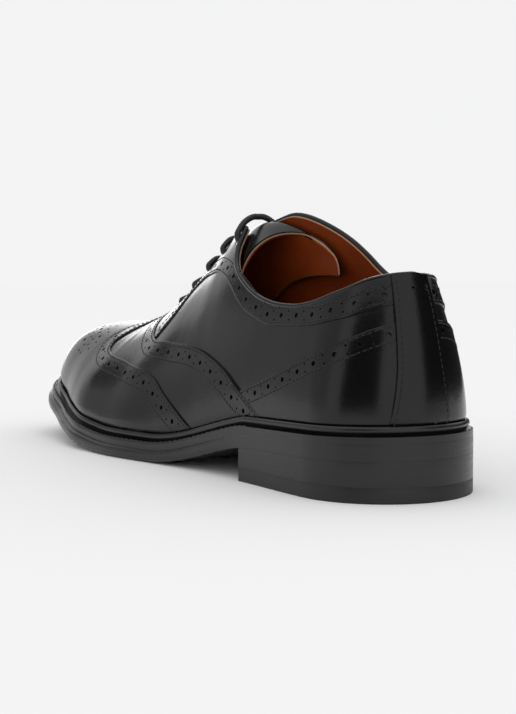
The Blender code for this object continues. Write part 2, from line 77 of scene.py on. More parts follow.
last = {
    "featherStart": 6.0, "featherEnd": 294.0, "heelRound": 31.5, "toeRoundStart": 222.0,
    "ridgeStart": 40.0, "ridgeEnd": 266.0, "throat": 199.0, "facingTop": 126.0, "base": 9.9,
}
sole = {
    "length": 304.0, "breast": 84.0, "rise": 16.4, "pitch": 2.4, "archSlope": -0.16,
    "flatStart": 158.0, "flatEnd": 186.0, "spring": 23.5, "springPower": 1.5,
}
featherTable = table(
    "x lateral medial",
    (0, 31.5, 31.5), (40, 31.5, 31.5), (85, 30.5, 27.0), (120, 32.0, 24.5), (150, 35.5, 28.5),
    (185, 40.3, 38.3), (212, 40.8, 44.0), (235, 37.2, 41.2), (255, 34.6, 37.0), (275, 36.5, 36.5),
    (304, 42.0, 42.0),
)
marginTable = table(
    "x sole welt",
    (0, 6.0, 5.9), (85, 6.2, 6.1), (105, 6.6, 6.2), (130, 7.2, 6.3), (200, 9.0, 7.0), (250, 9.3, 7.1),
    (304, 10.3, 8.3),
)
ridgeTable = table(
    "x y z",
    (40, 0.0, 118.0), (70, -1.5, 118.0), (100, -3.0, 114.6), (113, -3.8, 113.4), (126, -4.5, 111.0),
    (138, -5.0, 105.4), (150, -5.5, 97.0), (165, -5.5, 87.2),
    (180, -5.5, 76.5), (203, -4.5, 63.5), (225, -3.5, 57.2), (248, -2.0, 56.3), (266, -1.0, 53.2),
)
wallTable = table(
    "x leanLateral leanMedial riseLateral riseMedial turnLateral turnMedial",
    (6, 2.5, 2.5, 0.34, 0.34, 0.46, 0.46),
    (40, 3.5, 1.5, 0.34, 0.32, 0.24, 0.22),
    (85, 4.0, 2.5, 0.35, 0.36, 0.34, 0.36),
    (130, 3.5, 3.0, 0.33, 0.37, 0.28, 0.38),
    (180, 3.0, 3.5, 0.32, 0.38, 0.24, 0.42),
    (215, 4.0, 4.0, 0.40, 0.44, 0.33, 0.44),
    (250, 0.0, 0.0, 0.62, 0.62, 0.50, 0.50),
    (297, -6.0, -6.0, 0.80, 0.80, 0.70, 0.70),
)
collarTable = {
    "lateral": table(
        "x z",
        (0, 85.5), (15, 85.2), (20.5, 83.9), (34, 78.0), (51, 73.1), (60.5, 72.1), (71, 72.4), (82, 73.9),
        (95, 77.4), (106, 81.7), (114.5, 86.0), (120, 90.0), (125, 96.0), (128, 102.5), (131, 112.0),
    ),
    "medial": table(
        "x z",
        (0, 85.5), (15, 84.6), (30, 80.5), (42, 79.4), (52, 81.2), (60, 85.6), (69, 93.7), (75, 98.3),
        (81, 101.9), (88, 105.2), (95, 107.9), (102, 109.8), (110, 110.8), (122, 111.4), (140, 114.0),
    ),
}
facingGap = table(
    "x lateral medial",
    (100, 7.5, 4.0), (126, 6.5, 3.6), (140, 4.4, 3.2), (160, 2.6, 2.4), (185, 1.0, 1.0), (199, 0.0, 0.0),
)
vampEdge = table(
    "height station",
    (0.0, 67.0), (0.063, 77.0), (0.138, 90.0), (0.211, 101.0), (0.331, 127.0), (0.424, 156.0),
    (0.479, 174.0), (0.62, 191.0), (0.82, 203.0), (1.0, 209.0),
)
wingEdge = table(
    "height station",
    (0.0, 121.0), (0.07, 129.0), (0.201, 147.0), (0.291, 161.0), (0.358, 179.0), (0.416, 196.0),
    (0.476, 216.0), (0.529, 226.0), (0.61, 230.5), (0.72, 229.0), (0.85, 223.0), (1.0, 215.0),
)
counterTop = table(
    "station height",
    (6, 0.366), (9, 0.357), (24, 0.298), (53, 0.216), (88, 0.13), (94, 0.116),
)
bandEdge = table(
    "station height",
    (6, 0.420), (10, 0.411), (23, 0.373), (49, 0.346), (69, 0.348), (91, 0.401), (118, 0.559),
    (140, 0.672), (158, 0.735), (165, 0.720), (172, 0.591), (178, 0.512),
)
stripEdge = table("height lateral medial", (0.0, 17.0, 7.5), (0.25, 13.6, 5.0), (0.6, 13.0, 4.5))

# How far each skin lies from the inside of the shoe
seats = {
    "liningIn": 0.0, "liningOut": 0.85, "quarterIn": 0.9, "quarter": 2.1, "band": 2.8,
    "counter": 3.1, "vamp": 3.35, "wing": 4.2, "strip": 4.15,
}


def along(rows, key, value, column):
    xs, ys, steps, tangents = rows[key], rows[column], rows["steps"], rows["slopes"][column]
    value = np.clip(value, xs[0], xs[-1])
    k = np.clip(np.searchsorted(xs, value) - 1, 0, len(xs) - 2)
    t = (value - xs[k]) / steps[k]
    start = (1 + 2 * t) * (1 - t) ** 2 * ys[k] + t * (1 - t) ** 2 * steps[k] * tangents[k]
    end = t * t * (3 - 2 * t) * ys[k + 1] + t * t * (t - 1) * steps[k] * tangents[k + 1]
    return start + end


def world(points):
    return (np.asarray(points, float) - (heelCentre, 0.0, 0.0)) * mm


def unit(vectors):
    return vectors / np.maximum(np.linalg.norm(vectors, axis=-1, keepdims=True), 1e-12)


def underside(x):
    x = np.asarray(x, float)
    low = sole["rise"] - sole["pitch"]
    seat = sole["rise"] - sole["pitch"] * x / sole["breast"]
    span = sole["flatStart"] - sole["breast"]
    s = np.clip((x - sole["breast"]) / span, 0.0, 1.0)
    arch = low * (1 - s) ** 2 * (1 + 2 * s) + sole["archSlope"] * span * s * (1 - s) ** 2
    toe = np.clip((x - sole["flatEnd"]) / (sole["length"] - sole["flatEnd"]), 0.0, 1.0)
    return np.where(x < sole["breast"], seat, arch) + sole["spring"] * toe ** sole["springPower"]


def place(at):
    share = (np.asarray(at, float) - last["featherStart"]) / (last["featherEnd"] - last["featherStart"])
    return np.arccos(np.clip(1 - 2 * share, -1.0, 1.0)) / math.pi


def station(turn):
    length = last["featherEnd"] - last["featherStart"]
    return last["featherStart"] + length * (1 - np.cos(math.pi * turn)) / 2


def featherLine(turn, side):
    x = station(turn)
    heel = np.clip(1 - (x - last["featherStart"]) / last["heelRound"], 0.0, 1.0)
    toe = np.clip((x - last["toeRoundStart"]) / (last["featherEnd"] - last["toeRoundStart"]), 0.0, 1.0)
    rounding = np.sqrt((1 - heel ** 2) * (1 - toe ** 2))
    return np.stack([x, sides[side] * along(featherTable, "x", x, side) * rounding], -1)


def outward(turn, side):
    ahead = featherLine(np.clip(turn + 1e-4, 1e-6, 1 - 1e-6), side)
    behind = featherLine(np.clip(turn - 1e-4, 1e-6, 1 - 1e-6), side)
    run = unit(ahead - behind)
    return sides[side] * np.stack([-run[..., 1], run[..., 0]], -1)


def ridgeX(at):
    share = (at - last["featherStart"]) / (last["featherEnd"] - last["featherStart"])
    return last["ridgeStart"] + (last["ridgeEnd"] - last["ridgeStart"]) * share


def ridgeTurn(x):
    share = (x - last["ridgeStart"]) / (last["ridgeEnd"] - last["ridgeStart"])
    return float(place(last["featherStart"] + share * (last["featherEnd"] - last["featherStart"])))


def ridgeSlope(x):
    nose = np.clip(x + 0.5, last["ridgeStart"], last["ridgeEnd"])
    tail = np.clip(x - 0.5, last["ridgeStart"], last["ridgeEnd"])
    return (along(ridgeTable, "x", nose, "z") - along(ridgeTable, "x", tail, "z")) / (nose - tail)


def lastPoint(turn, height, side):
    # a wall of the last: turn 0 heel to 1 toe, height 0 at the welt to 1 on the ridge
    turn, height = np.broadcast_arrays(np.asarray(turn, float), np.asarray(height, float))
    line = featherLine(turn, side)
    base = np.stack([line[..., 0], line[..., 1], underside(line[..., 0]) + last["base"]], -1)
    topX = ridgeX(base[..., 0])
    top = np.stack([topX, along(ridgeTable, "x", topX, "y"), along(ridgeTable, "x", topX, "z")], -1)
    name = side.capitalize()
    lean = along(wallTable, "x", base[..., 0], "lean" + name)
    rise = along(wallTable, "x", base[..., 0], "rise" + name) * (top[..., 2] - base[..., 2])
    turnOver = along(wallTable, "x", base[..., 0], "turn" + name)
    across = base[..., :2] - top[..., :2]
    width = np.linalg.norm(across, axis=-1)
    away = across / np.maximum(width, 1e-6)[..., None]
    lower = base + np.stack([away[..., 0] * lean, away[..., 1] * lean, rise], -1)
    reach = away * (width * turnOver)[..., None]
    upper = top + np.stack([reach[..., 0], reach[..., 1], ridgeSlope(topX) * reach[..., 0]], -1)
    h = height[..., None]
    return (1 - h) ** 3 * base + 3 * h * (1 - h) ** 2 * lower + 3 * h * h * (1 - h) * upper + h ** 3 * top


def wallNormal(turn, height, side):
    after = lastPoint(np.clip(turn + 1e-4, 1e-5, 1 - 1e-5), height, side)
    before = lastPoint(np.clip(turn - 1e-4, 1e-5, 1 - 1e-5), height, side)
    above = lastPoint(turn, np.clip(height + 1e-4, 0.0, 1.0), side)
    below = lastPoint(turn, np.clip(height - 1e-4, 0.0, 1.0), side)
    return unit(np.cross(above - below, after - before) * sides[side])


def lastNormal(turn, height, side):
    # both walls share one normal on the ridge and on the centre lines
    turn, height = np.broadcast_arrays(np.asarray(turn, float), np.asarray(height, float))
    normal = wallNormal(turn, height, side)
    centre = (turn < 1e-4) | (turn > 1 - 1e-4)
    if centre.any():
        other = "medial" if side == "lateral" else "lateral"
        normal[centre] = unit(normal[centre] + wallNormal(turn[centre], height[centre], other))
    slope = ridgeSlope(ridgeX(station(turn)))
    top = unit(np.stack([-slope, np.zeros_like(slope), np.ones_like(slope)], -1))
    return np.where((height > 1 - 1e-6)[..., None], top, normal)


# Soft troughs and ridges pressed into the leather by wear and by the last:
# middle, run, length, width and depth, all in millimetres
creaseTable = (
    {"at": (7.0, 8.0, 57.0), "run": (0.1, 1.0, 0.05), "long": 6.0, "wide": 1.0, "deep": -0.30},
    {"at": (6.6, 8.0, 53.0), "run": (0.1, 1.0, -0.05), "long": 7.0, "wide": 1.1, "deep": -0.34},
    {"at": (6.2, 8.0, 48.5), "run": (0.1, 1.0, 0.0), "long": 6.0, "wide": 1.1, "deep": -0.28},
    {"at": (206.0, 22.0, 53.0), "run": (0.25, 1.0, -0.6), "long": 20.0, "wide": 4.0, "deep": -0.30},
    {"at": (213.0, 20.0, 51.0), "run": (0.3, 1.0, -0.6), "long": 18.0, "wide": 4.5, "deep": -0.25},
    {"at": (206.0, -28.0, 53.0), "run": (0.25, -1.0, -0.6), "long": 20.0, "wide": 4.0, "deep": -0.30},
    {"at": (130.0, 28.0, 57.0), "run": (1.0, 0.0, 0.5), "long": 26.0, "wide": 8.0, "deep": -0.25},
    {"at": (70.0, 31.0, 54.0), "run": (1.0, 0.0, -0.3), "long": 24.0, "wide": 9.0, "deep": -0.20},
)


def creaseDepth(points):
    total = np.zeros(points.shape[:-1])
    for crease in creaseTable:
        run = unit(np.array(crease["run"]))
        offset = points - np.array(crease["at"])
        ahead = offset @ run
        across = np.linalg.norm(offset - ahead[..., None] * run, axis=-1)
        fade = np.exp(-(ahead / crease["long"]) ** 2 - (across / crease["wide"]) ** 2)
        total += crease["deep"] * fade
    return total


tuck = {"start": 2.7, "slope": 0.6, "least": 2.15, "share": 0.2, "soft": 0.6}


def softMin(a, b, soft):
    near = np.maximum(soft - np.abs(a - b), 0.0) / soft
    return np.minimum(a, b) - near * near * soft / 4


def skin(uv, side, seat):
    # the leather at this seat; above the welt it draws in behind the bead
    point = lastPoint(uv[..., 0], uv[..., 1], side)
    normal = lastNormal(uv[..., 0], uv[..., 1], side)
    above = point[..., 2] - underside(point[..., 0]) - last["base"]
    limit = tuck["least"] + tuck["share"] * (seat - seats["quarter"])
    limit = limit + tuck["slope"] * np.maximum(above - tuck["start"], 0.0)
    seat = np.where(seat > seats["quarterIn"], softMin(seat, limit, tuck["soft"]), seat)
    return point + (seat + creaseDepth(point))[..., None] * normal


def skinNormal(uv, side, seat):
    # normal of the finished skin with its creases
    turn, height = uv[:, 0], uv[:, 1]
    step = 4e-4
    after = skin(np.stack([np.clip(turn + step, 0, 1), height], -1), side, seat)
    before = skin(np.stack([np.clip(turn - step, 0, 1), height], -1), side, seat)
    above = skin(np.stack([turn, np.clip(height + step, 0, 1)], -1), side, seat)
    below = skin(np.stack([turn, np.clip(height - step, 0, 1)], -1), side, seat)
    normal = unit(np.cross(above - below, after - before) * sides[side])
    shared = (turn < 1e-3) | (turn > 1 - 1e-3) | (height > 1 - 1e-3)
    return np.where(shared[:, None], lastNormal(turn, height, side), normal)


def firstCrossing(heights, values):
    below = np.nonzero(values <= 0)[0]
    if len(below) == 0:
        return heights[-1]
    i = max(below[0], 1)
    share = values[i - 1] / (values[i - 1] - values[i])
    return heights[i - 1] + share * (heights[i] - heights[i - 1])


fineHeights = np.linspace(0.0, 1.0, 401)


def fromRidge(wall, side):
    return sides[side] * (wall[..., 1] - along(ridgeTable, "x", wall[..., 0], "y"))


def toplineParts(turn, side):
    wall = lastPoint(turn, fineHeights, side)
    below = along(collarTable[side], "x", wall[:, 0], "z") - wall[:, 2]
    collar = firstCrossing(fineHeights, np.where(wall[:, 0] > collarTable[side]["x"][-1], 1.0, below))
    if turn < ridgeTurn(facingGap["x"][0]):
        return collar, 1.0
    gap = along(facingGap, "x", wall[:, 0], side)
    return collar, firstCrossing(fineHeights, fromRidge(wall, side) - gap)


throatTurn = ridgeTurn(last["throat"])


def collarCorner(side):
    low, high = ridgeTurn(last["facingTop"] - 25.0), ridgeTurn(last["facingTop"] + 25.0)
    for _ in range(30):
        middle = (low + high) / 2
        collar, facing = toplineParts(middle, side)
        low, high = (middle, high) if collar < facing else (low, middle)
    return (low + high) / 2


corners = {side: collarCorner(side) for side in sides}
toplineTurns = {
    side: np.concatenate([
        np.linspace(0.0, corners[side], 90)[:-1],
        np.linspace(corners[side], throatTurn, 50)[:-1],
        np.linspace(throatTurn, 1.0, 70),
    ])
    for side in sides
}


cornerSoft = 0.02  # rounds the corner where collar and facing meet


def toplineAt(turn, side):
    if turn >= throatTurn - 1e-9:
        return 1.0
    if turn < 1e-6:
        return sum(min(toplineParts(turn, both)) for both in sides) / 2
    return float(softMin(*toplineParts(turn, side), cornerSoft))


toplineHeights = {side: np.array([toplineAt(t, side) for t in toplineTurns[side]]) for side in sides}


def topline(turn, side):
    return np.interp(turn, toplineTurns[side], toplineHeights[side])


def lifted(turn, side, lift):
    # height at which a skin stands this far above the base of the upper
    x = station(turn)
    wall = along(ridgeTable, "x", ridgeX(x), "z") - underside(x) - last["base"]
    return lift / (3 * along(wallTable, "x", x, "rise" + side.capitalize()) * wall)


print("last ready")


def chartMove(uv, side, vectors):
    # step in turn and height that moves points of the last by these vectors
    turnUp, turnDown = np.clip(uv[:, 0] + 1e-4, 0, 1), np.clip(uv[:, 0] - 1e-4, 0, 1)
    highUp, highDown = np.clip(uv[:, 1] + 1e-4, 0, 1), np.clip(uv[:, 1] - 1e-4, 0, 1)
    run = lastPoint(turnUp, uv[:, 1], side) - lastPoint(turnDown, uv[:, 1], side)
    run /= (turnUp - turnDown)[:, None]
    rise = lastPoint(uv[:, 0], highUp, side) - lastPoint(uv[:, 0], highDown, side)
    rise /= (highUp - highDown)[:, None]
    a, b, c = (run * run).sum(-1), (run * rise).sum(-1), (rise * rise).sum(-1)
    p, q = (run * vectors).sum(-1), (rise * vectors).sum(-1)
    det = np.maximum(a * c - b * b, 1e-3)
    return np.stack([c * p - b * q, a * q - b * p], -1) / det[:, None]


def offsetCurve(uv, side, distance):
    # positive is toward the toe from a rising line, and down from a line that runs forward
    count = int(abs(distance) / 1.2) + 1
    for _ in range(count):
        points = lastPoint(uv[:, 0], uv[:, 1], side)
        tangent = unit(np.gradient(points, axis=0))
        normal = lastNormal(uv[:, 0], uv[:, 1], side)
        across = sides[side] * unit(np.cross(normal, tangent))
        uv = np.clip(uv + chartMove(uv, side, across * distance / count), 0.0, 1.0)
    return uv


def runLength(points):
    return np.concatenate([[0.0], np.cumsum(np.linalg.norm(np.diff(points, axis=0), axis=1))])


def pickAt(points, length, marks):
    return np.stack([np.interp(marks, length, column) for column in points.T], -1)


def curveLength(uv, side):
    return runLength(lastPoint(uv[:, 0], uv[:, 1], side))


def pointsAt(uv, side, marks):
    return pickAt(uv, curveLength(uv, side), marks)


def spaced(uv, side, pitch, start=0.0, end=0.0):
    total = curveLength(uv, side)[-1]
    count = max(2, int(round((total - start - end) / pitch)) + 1)
    return pointsAt(uv, side, np.linspace(start, total - end, count))


def addPiece(name, points, faces, finish, nodes=(), sharp=40.0, weld=0.002):
    mesh = bpy.data.meshes.new(name)
    mesh.from_pydata(world(points).tolist(), [], [tuple(int(i) for i in f) for f in faces])
    if weld:
        shape = bmesh.new()
        shape.from_mesh(mesh)
        bmesh.ops.remove_doubles(shape, verts=shape.verts, dist=weld * mm)
        shape.to_mesh(mesh)
        shape.free()
    mesh.shade_smooth()
    mesh.set_sharp_from_angle(angle=math.radians(sharp))
    mesh.materials.append(finish)
    piece = bpy.data.objects.new(name, mesh)
    bpy.context.scene.collection.objects.link(piece)
    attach(piece, "root")
    if nodes:
        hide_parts(*nodes)
    return piece


def facesOut(piece):
    shape = bmesh.new()
    shape.from_mesh(piece.data)
    bmesh.ops.recalc_face_normals(shape, faces=shape.faces)
    shape.to_mesh(piece.data)
    shape.free()


def newMaterial(name):
    material = bpy.data.materials.new(name)
    material.use_nodes = True
    tree = material.node_tree
    return material, tree, tree.nodes["Principled BSDF"]


def noiseNode(tree, scale, detail, stretch=None):
    coords = tree.nodes.new("ShaderNodeTexCoord")
    noise = tree.nodes.new("ShaderNodeTexNoise")
    noise.inputs["Scale"].default_value = scale
    noise.inputs["Detail"].default_value = detail
    source = coords.outputs["Object"]
    if stretch:
        mapping = tree.nodes.new("ShaderNodeMapping")
        mapping.inputs["Scale"].default_value = stretch
        tree.links.new(source, mapping.inputs["Vector"])
        source = mapping.outputs["Vector"]
    tree.links.new(source, noise.inputs["Vector"])
    return noise


def mapRange(tree, value, low, high):
    node = tree.nodes.new("ShaderNodeMapRange")
    node.inputs["From Min"].default_value = 0.3
    node.inputs["From Max"].default_value = 0.7
    node.inputs["To Min"].default_value = low
    node.inputs["To Max"].default_value = high
    tree.links.new(value, node.inputs["Value"])
    return node.outputs["Result"]


def bumpNode(tree, height, distance, strength, under=None):
    bump = tree.nodes.new("ShaderNodeBump")
    bump.inputs["Distance"].default_value = distance
    bump.inputs["Strength"].default_value = strength
    tree.links.new(height, bump.inputs["Height"])
    if under:
        tree.links.new(under, bump.inputs["Normal"])
    return bump.outputs["Normal"]


def colourMix(tree, value, low, high):
    ramp = tree.nodes.new("ShaderNodeValToRGB")
    ramp.color_ramp.elements[0].position = 0.3
    ramp.color_ramp.elements[1].position = 0.7
    ramp.color_ramp.elements[0].color = (*low, 1.0)
    ramp.color_ramp.elements[1].color = (*high, 1.0)
    tree.links.new(value, ramp.inputs["Fac"])
    return ramp.outputs["Color"]


polishedLook = {
    "low": (0.0030, 0.0030, 0.0034), "high": (0.0052, 0.0050, 0.0054), "rough": (0.16, 0.23), "ior": 1.40,
    "coat": 0.06, "coatRough": 0.06,
}


def polishedLeather():
    material, tree, shader = newMaterial("blackLeather")
    broad = noiseNode(tree, 60.0, 3.0)
    grain = tree.nodes.new("ShaderNodeTexVoronoi")
    grain.inputs["Scale"].default_value = 2600.0
    tree.links.new(broad.inputs["Vector"].links[0].from_socket, grain.inputs["Vector"])
    fine = noiseNode(tree, 900.0, 4.0)
    tree.links.new(colourMix(tree, broad.outputs["Fac"], polishedLook["low"], polishedLook["high"]),
                   shader.inputs["Base Color"])
    tree.links.new(mapRange(tree, fine.outputs["Fac"], *polishedLook["rough"]), shader.inputs["Roughness"])
    rolling = bumpNode(tree, broad.outputs["Fac"], 0.0006, 0.25)
    pores = bumpNode(tree, fine.outputs["Fac"], 0.00008, 0.30, rolling)
    tree.links.new(bumpNode(tree, grain.outputs["Distance"], 0.00005, 0.25, pores), shader.inputs["Normal"])
    shader.inputs["IOR"].default_value = polishedLook["ior"]
    shader.inputs["Coat Weight"].default_value = polishedLook["coat"]
    shader.inputs["Coat Roughness"].default_value = polishedLook["coatRough"]
    return material


def edgeLeather(name, low, high, rough, streak):
    material, tree, shader = newMaterial(name)
    lines = noiseNode(tree, 300.0, 4.0, streak)
    tree.links.new(colourMix(tree, lines.outputs["Fac"], low, high), shader.inputs["Base Color"])
    tree.links.new(mapRange(tree, lines.outputs["Fac"], *rough), shader.inputs["Roughness"])
    tree.links.new(bumpNode(tree, lines.outputs["Fac"], 0.0002, 0.20), shader.inputs["Normal"])
    return material


def liningLeather(name, low, high, rough):
    material, tree, shader = newMaterial(name)
    broad = noiseNode(tree, 45.0, 4.0)
    fine = noiseNode(tree, 1400.0, 3.0)
    tree.links.new(colourMix(tree, broad.outputs["Fac"], low, high), shader.inputs["Base Color"])
    tree.links.new(mapRange(tree, fine.outputs["Fac"], *rough), shader.inputs["Roughness"])
    tree.links.new(bumpNode(tree, fine.outputs["Fac"], 0.00012, 0.4), shader.inputs["Normal"])
    shader.inputs["Specular IOR Level"].default_value = 0.14
    return material


def laceCotton():
    material, tree, shader = newMaterial("blackLace")
    weave = noiseNode(tree, 1500.0, 2.0)
    tree.links.new(colourMix(tree, weave.outputs["Fac"], (0.004, 0.004, 0.005), (0.014, 0.014, 0.016)),
                   shader.inputs["Base Color"])
    tree.links.new(bumpNode(tree, weave.outputs["Fac"], 0.0003, 0.5), shader.inputs["Normal"])
    shader.inputs["Roughness"].default_value = 0.5
    return material


finishes = {
    "leather": polishedLeather(),
    "edge": edgeLeather("inkedEdge", 3 * (0.004,), 3 * (0.008,), (0.26, 0.36), (0.15, 0.15, 4)),
    "rubber": edgeLeather("blackRubber", 3 * (0.005,), 3 * (0.010,), (0.40, 0.52), (1, 1, 2)),
    "lining": liningLeather("tanLining", (0.150, 0.021, 0.002), (0.215, 0.038, 0.005), (0.42, 0.55)),
    "liningEdge": liningLeather("paleEdge", (0.28, 0.17, 0.10), (0.38, 0.24, 0.15), (0.5, 0.6)),
    "thread": edgeLeather("waxedThread", 3 * (0.003,), 3 * (0.009,), (0.38, 0.5), (1, 1, 1)),
    "lace": laceCotton(),
}
print("materials ready")


def shellSheet(name, outer, inner, rows, finish, nodes=()):
    # closed sheet over the whole last, open at the collar and along the throat
    points, faces = [], []
    shares = np.linspace(0.0, 1.0, rows + 1)
    for side in sides:
        turns = toplineTurns[side]
        heights = toplineHeights[side][:, None] * shares[None, :]
        uv = np.stack([np.repeat(turns[:, None], rows + 1, 1), heights], -1)
        start = sum(len(p) for p in points)
        count = len(turns) * (rows + 1)
        points += [skin(uv, side, outer).reshape(-1, 3), skin(uv, side, inner).reshape(-1, 3)]
        flip = side == "medial"
        for i in range(len(turns) - 1):
            for j in range(rows):
                a = start + i * (rows + 1) + j
                quad = (a, a + 1, a + rows + 2, a + rows + 1)
                deep = tuple(k + count for k in quad[::-1])
                faces += [quad[::-1], deep[::-1]] if flip else [quad, deep]
            rims = [(start + i * (rows + 1), False)]
            if turns[i + 1] <= throatTurn + 1e-9:
                rims.append((start + i * (rows + 1) + rows, True))
            for a, top in rims:
                quad = (a, a + rows + 1, a + rows + 1 + count, a + count)
                faces.append(quad[::-1] if flip == top else quad)
    addPiece(name, np.concatenate(points), faces, finish, nodes)


shellSheet("quarters", seats["quarter"], seats["quarterIn"], 60, finishes["leather"],
           ["upper"])
shellSheet("lining", seats["liningOut"], seats["liningIn"], 40, finishes["lining"])
print("upper ready")


def insidePolygon(points, loop):
    inside = np.zeros(len(points), bool)
    x, y = points[:, 0], points[:, 1]
    ends = np.roll(loop, -1, 0)
    for (x0, y0), (x1, y1) in zip(loop, ends):
        if y0 == y1:
            continue
        crosses = (y0 > y) != (y1 > y)
        inside ^= crosses & (x < x0 + (y - y0) * (x1 - x0) / (y1 - y0))
    return inside


def holeCorners(radius):
    return 14 if radius > edgeLook["bigHole"] else 9


def holeRings(centres, radius, count, side):
    # round rings in the skin around each centre
    across = lastNormal(centres[:, 0], centres[:, 1], side)
    ahead = lastPoint(np.clip(centres[:, 0] + 1e-4, 0, 1), centres[:, 1], side)
    ahead = unit(ahead - lastPoint(np.clip(centres[:, 0] - 1e-4, 0, 1), centres[:, 1], side))
    up = sides[side] * unit(np.cross(ahead, across))
    rings = []
    for angle in np.linspace(0, 2 * math.pi, count, endpoint=False):
        spoke = radius * (math.cos(angle) * ahead + math.sin(angle) * up)
        rings.append(centres + chartMove(centres, side, spoke))
    return np.stack(rings, 1)


edgeLook = {"drop": 0.20, "inset": 0.42, "waist": 0.60, "groove": 0.20, "grooveHalf": 0.50, "holeDrop": 0.08,
            "holeLip": 0.22, "holeWaist": 0.45, "holeFloor": 0.05, "bigHole": 0.7, "grid": 1.7, "near": 0.85,
            "base": 1.7}


def overlayHalf(side, plan, top, base):
    # one side of an overlay, meshed in turn and height with its real holes and stitch grooves
    loop = np.concatenate([run["uv"][:-1] for run in plan["loop"]])
    area = np.sum(loop[:, 0] * np.roll(loop[:, 1], -1) - np.roll(loop[:, 0], -1) * loop[:, 1])
    turned = area < 0
    free = np.zeros(len(loop), bool)
    at = 0
    for run in plan["loop"]:
        size = len(run["uv"]) - 1
        if run["kind"] == "free":
            free[np.arange(at, at + size + 1) % len(loop)] = True
        at += size
    uvs, drops = [loop], [np.where(free, edgeLook["drop"], 0.0)]
    edges = [(i, (i + 1) % len(loop)) for i in range(len(loop))]
    total = len(loop)
    holeLoops = []
    for centres, radius in plan.get("holes", ()):
        if len(centres) == 0:
            continue
        count = holeCorners(radius)
        for ring in holeRings(centres, radius, count, side):
            ids = np.arange(total, total + count)
            holeLoops.append(ids)
            edges += [(int(a), int(b)) for a, b in zip(ids, np.roll(ids, -1))]
            uvs.append(ring)
            drops.append(np.full(count, edgeLook["holeDrop"]))
            total += count
    extras = [holeRings(c, r + edgeLook["holeLip"], holeCorners(r), side).reshape(-1, 2)
              for c, r in plan.get("holes", ()) if len(c)]
    extraDrops = [np.zeros(len(e)) for e in extras]
    for run in plan["loop"]:
        if run["kind"] == "free":
            extras.append(offsetCurve(run["uv"], side, edgeLook["inset"] * run["inside"]))
            extraDrops.append(np.zeros(len(extras[-1])))
    for groove in plan.get("grooves", ()):
        fine = spaced(groove, side, 1.3)
        for shift, drop in ((0.0, edgeLook["groove"]), (1.0, 0.0), (-1.0, 0.0)):
            extras.append(offsetCurve(fine, side, shift * edgeLook["grooveHalf"]) if shift else fine)
            extraDrops.append(np.full(len(fine), drop))
    flatLoop = loop * chartScale
    if extras:
        more, moreDrops = np.concatenate(extras), np.concatenate(extraDrops)
        keep = insidePolygon(more * chartScale, flatLoop)
        uvs.append(more[keep])
        drops.append(moreDrops[keep])
        total += int(keep.sum())
    fixed = np.concatenate(uvs) * chartScale
    tree = KDTree(len(fixed))
    for i, p in enumerate(fixed):
        tree.insert((p[0], p[1], 0.0), i)
    tree.balance()
    low, high = flatLoop.min(0), flatLoop.max(0)
    xs = np.arange(low[0], high[0], edgeLook["grid"])
    ys = np.arange(low[1], high[1], edgeLook["grid"] * 0.87)
    gridX, gridY = np.meshgrid(xs, ys)
    gridX = gridX + (np.arange(len(ys)) % 2)[:, None] * edgeLook["grid"] / 2
    grid = np.stack([gridX.ravel(), gridY.ravel()], -1)
    grid = grid[insidePolygon(grid, flatLoop)]
    grid = grid[[tree.find((p[0], p[1], 0.0))[2] > edgeLook["near"] for p in grid]]
    flat = np.concatenate([fixed, grid])
    allDrops = np.concatenate(drops + [np.zeros(len(grid))])
    result = delaunay_2d_cdt([Vector(p) for p in flat], edges, [], 0, 1e-6)
    newVerts = np.array([tuple(v) for v in result[0]])
    origin = result[3]
    newDrops = np.array([allDrops[o[0]] if len(o) else 0.0 for o in origin])
    newIndex = {}
    for i, o in enumerate(origin):
        for one in o:
            newIndex[one] = i
    triangles = np.array([f for f in result[2] if len(f) == 3])
    inside = insidePolygon(newVerts[triangles].mean(1), flatLoop)
    holeOf = np.full(len(newVerts), -1)
    for number, ids in enumerate(holeLoops):
        holeOf[[newIndex[int(i)] for i in ids]] = number
    marks = holeOf[triangles]
    inHole = (marks[:, 0] >= 0) & (marks[:, 0] == marks[:, 1]) & (marks[:, 1] == marks[:, 2])
    triangles = triangles[inside & ~inHole]
    uv = np.clip(newVerts / chartScale, 0.0, 1.0)
    points = [skin(uv, side, top - newDrops)]
    faces = [tuple(t) for t in triangles]
    count = len(uv)

    at, walls = 0, []
    for run in plan["loop"]:
        size = len(run["uv"]) - 1
        if run["kind"] == "free":
            ids = np.array([newIndex[int(k % len(loop))] for k in range(at, at + size + 1)])
            walls.append((ids, (top - edgeLook["waist"], base), False, turned))
        at += size
    for ids in holeLoops:
        levels = top - edgeLook["holeWaist"], base - edgeLook["holeFloor"]
        walls.append((np.array([newIndex[int(i)] for i in ids]), levels, True, True))
    lowUv, lowSeats = [], []
    for ids, levels, closed, reverse in walls:
        rings = [ids]
        for level in levels:
            lowUv.append(uv[ids])
            lowSeats.append(np.full(len(ids), level))
            rings.append(np.arange(count, count + len(ids)))
            count += len(ids)
        for upper, lower in zip(rings, rings[1:]):
            for i in range(len(ids) if closed else len(ids) - 1):
                j = (i + 1) % len(ids)
                quad = (upper[i], lower[i], lower[j], upper[j])
                faces.append(quad[::-1] if reverse else quad)
    points.append(skin(np.concatenate(lowUv), side, np.concatenate(lowSeats)))
    if side == "lateral":
        faces = [f[::-1] for f in faces]
    points = np.concatenate(points)
    normals = np.full(points.shape, np.nan)
    flat = np.nonzero(newDrops == 0.0)[0]
    normals[flat] = skinNormal(uv[flat], side, np.full(len(flat), top))
    return points, faces, normals


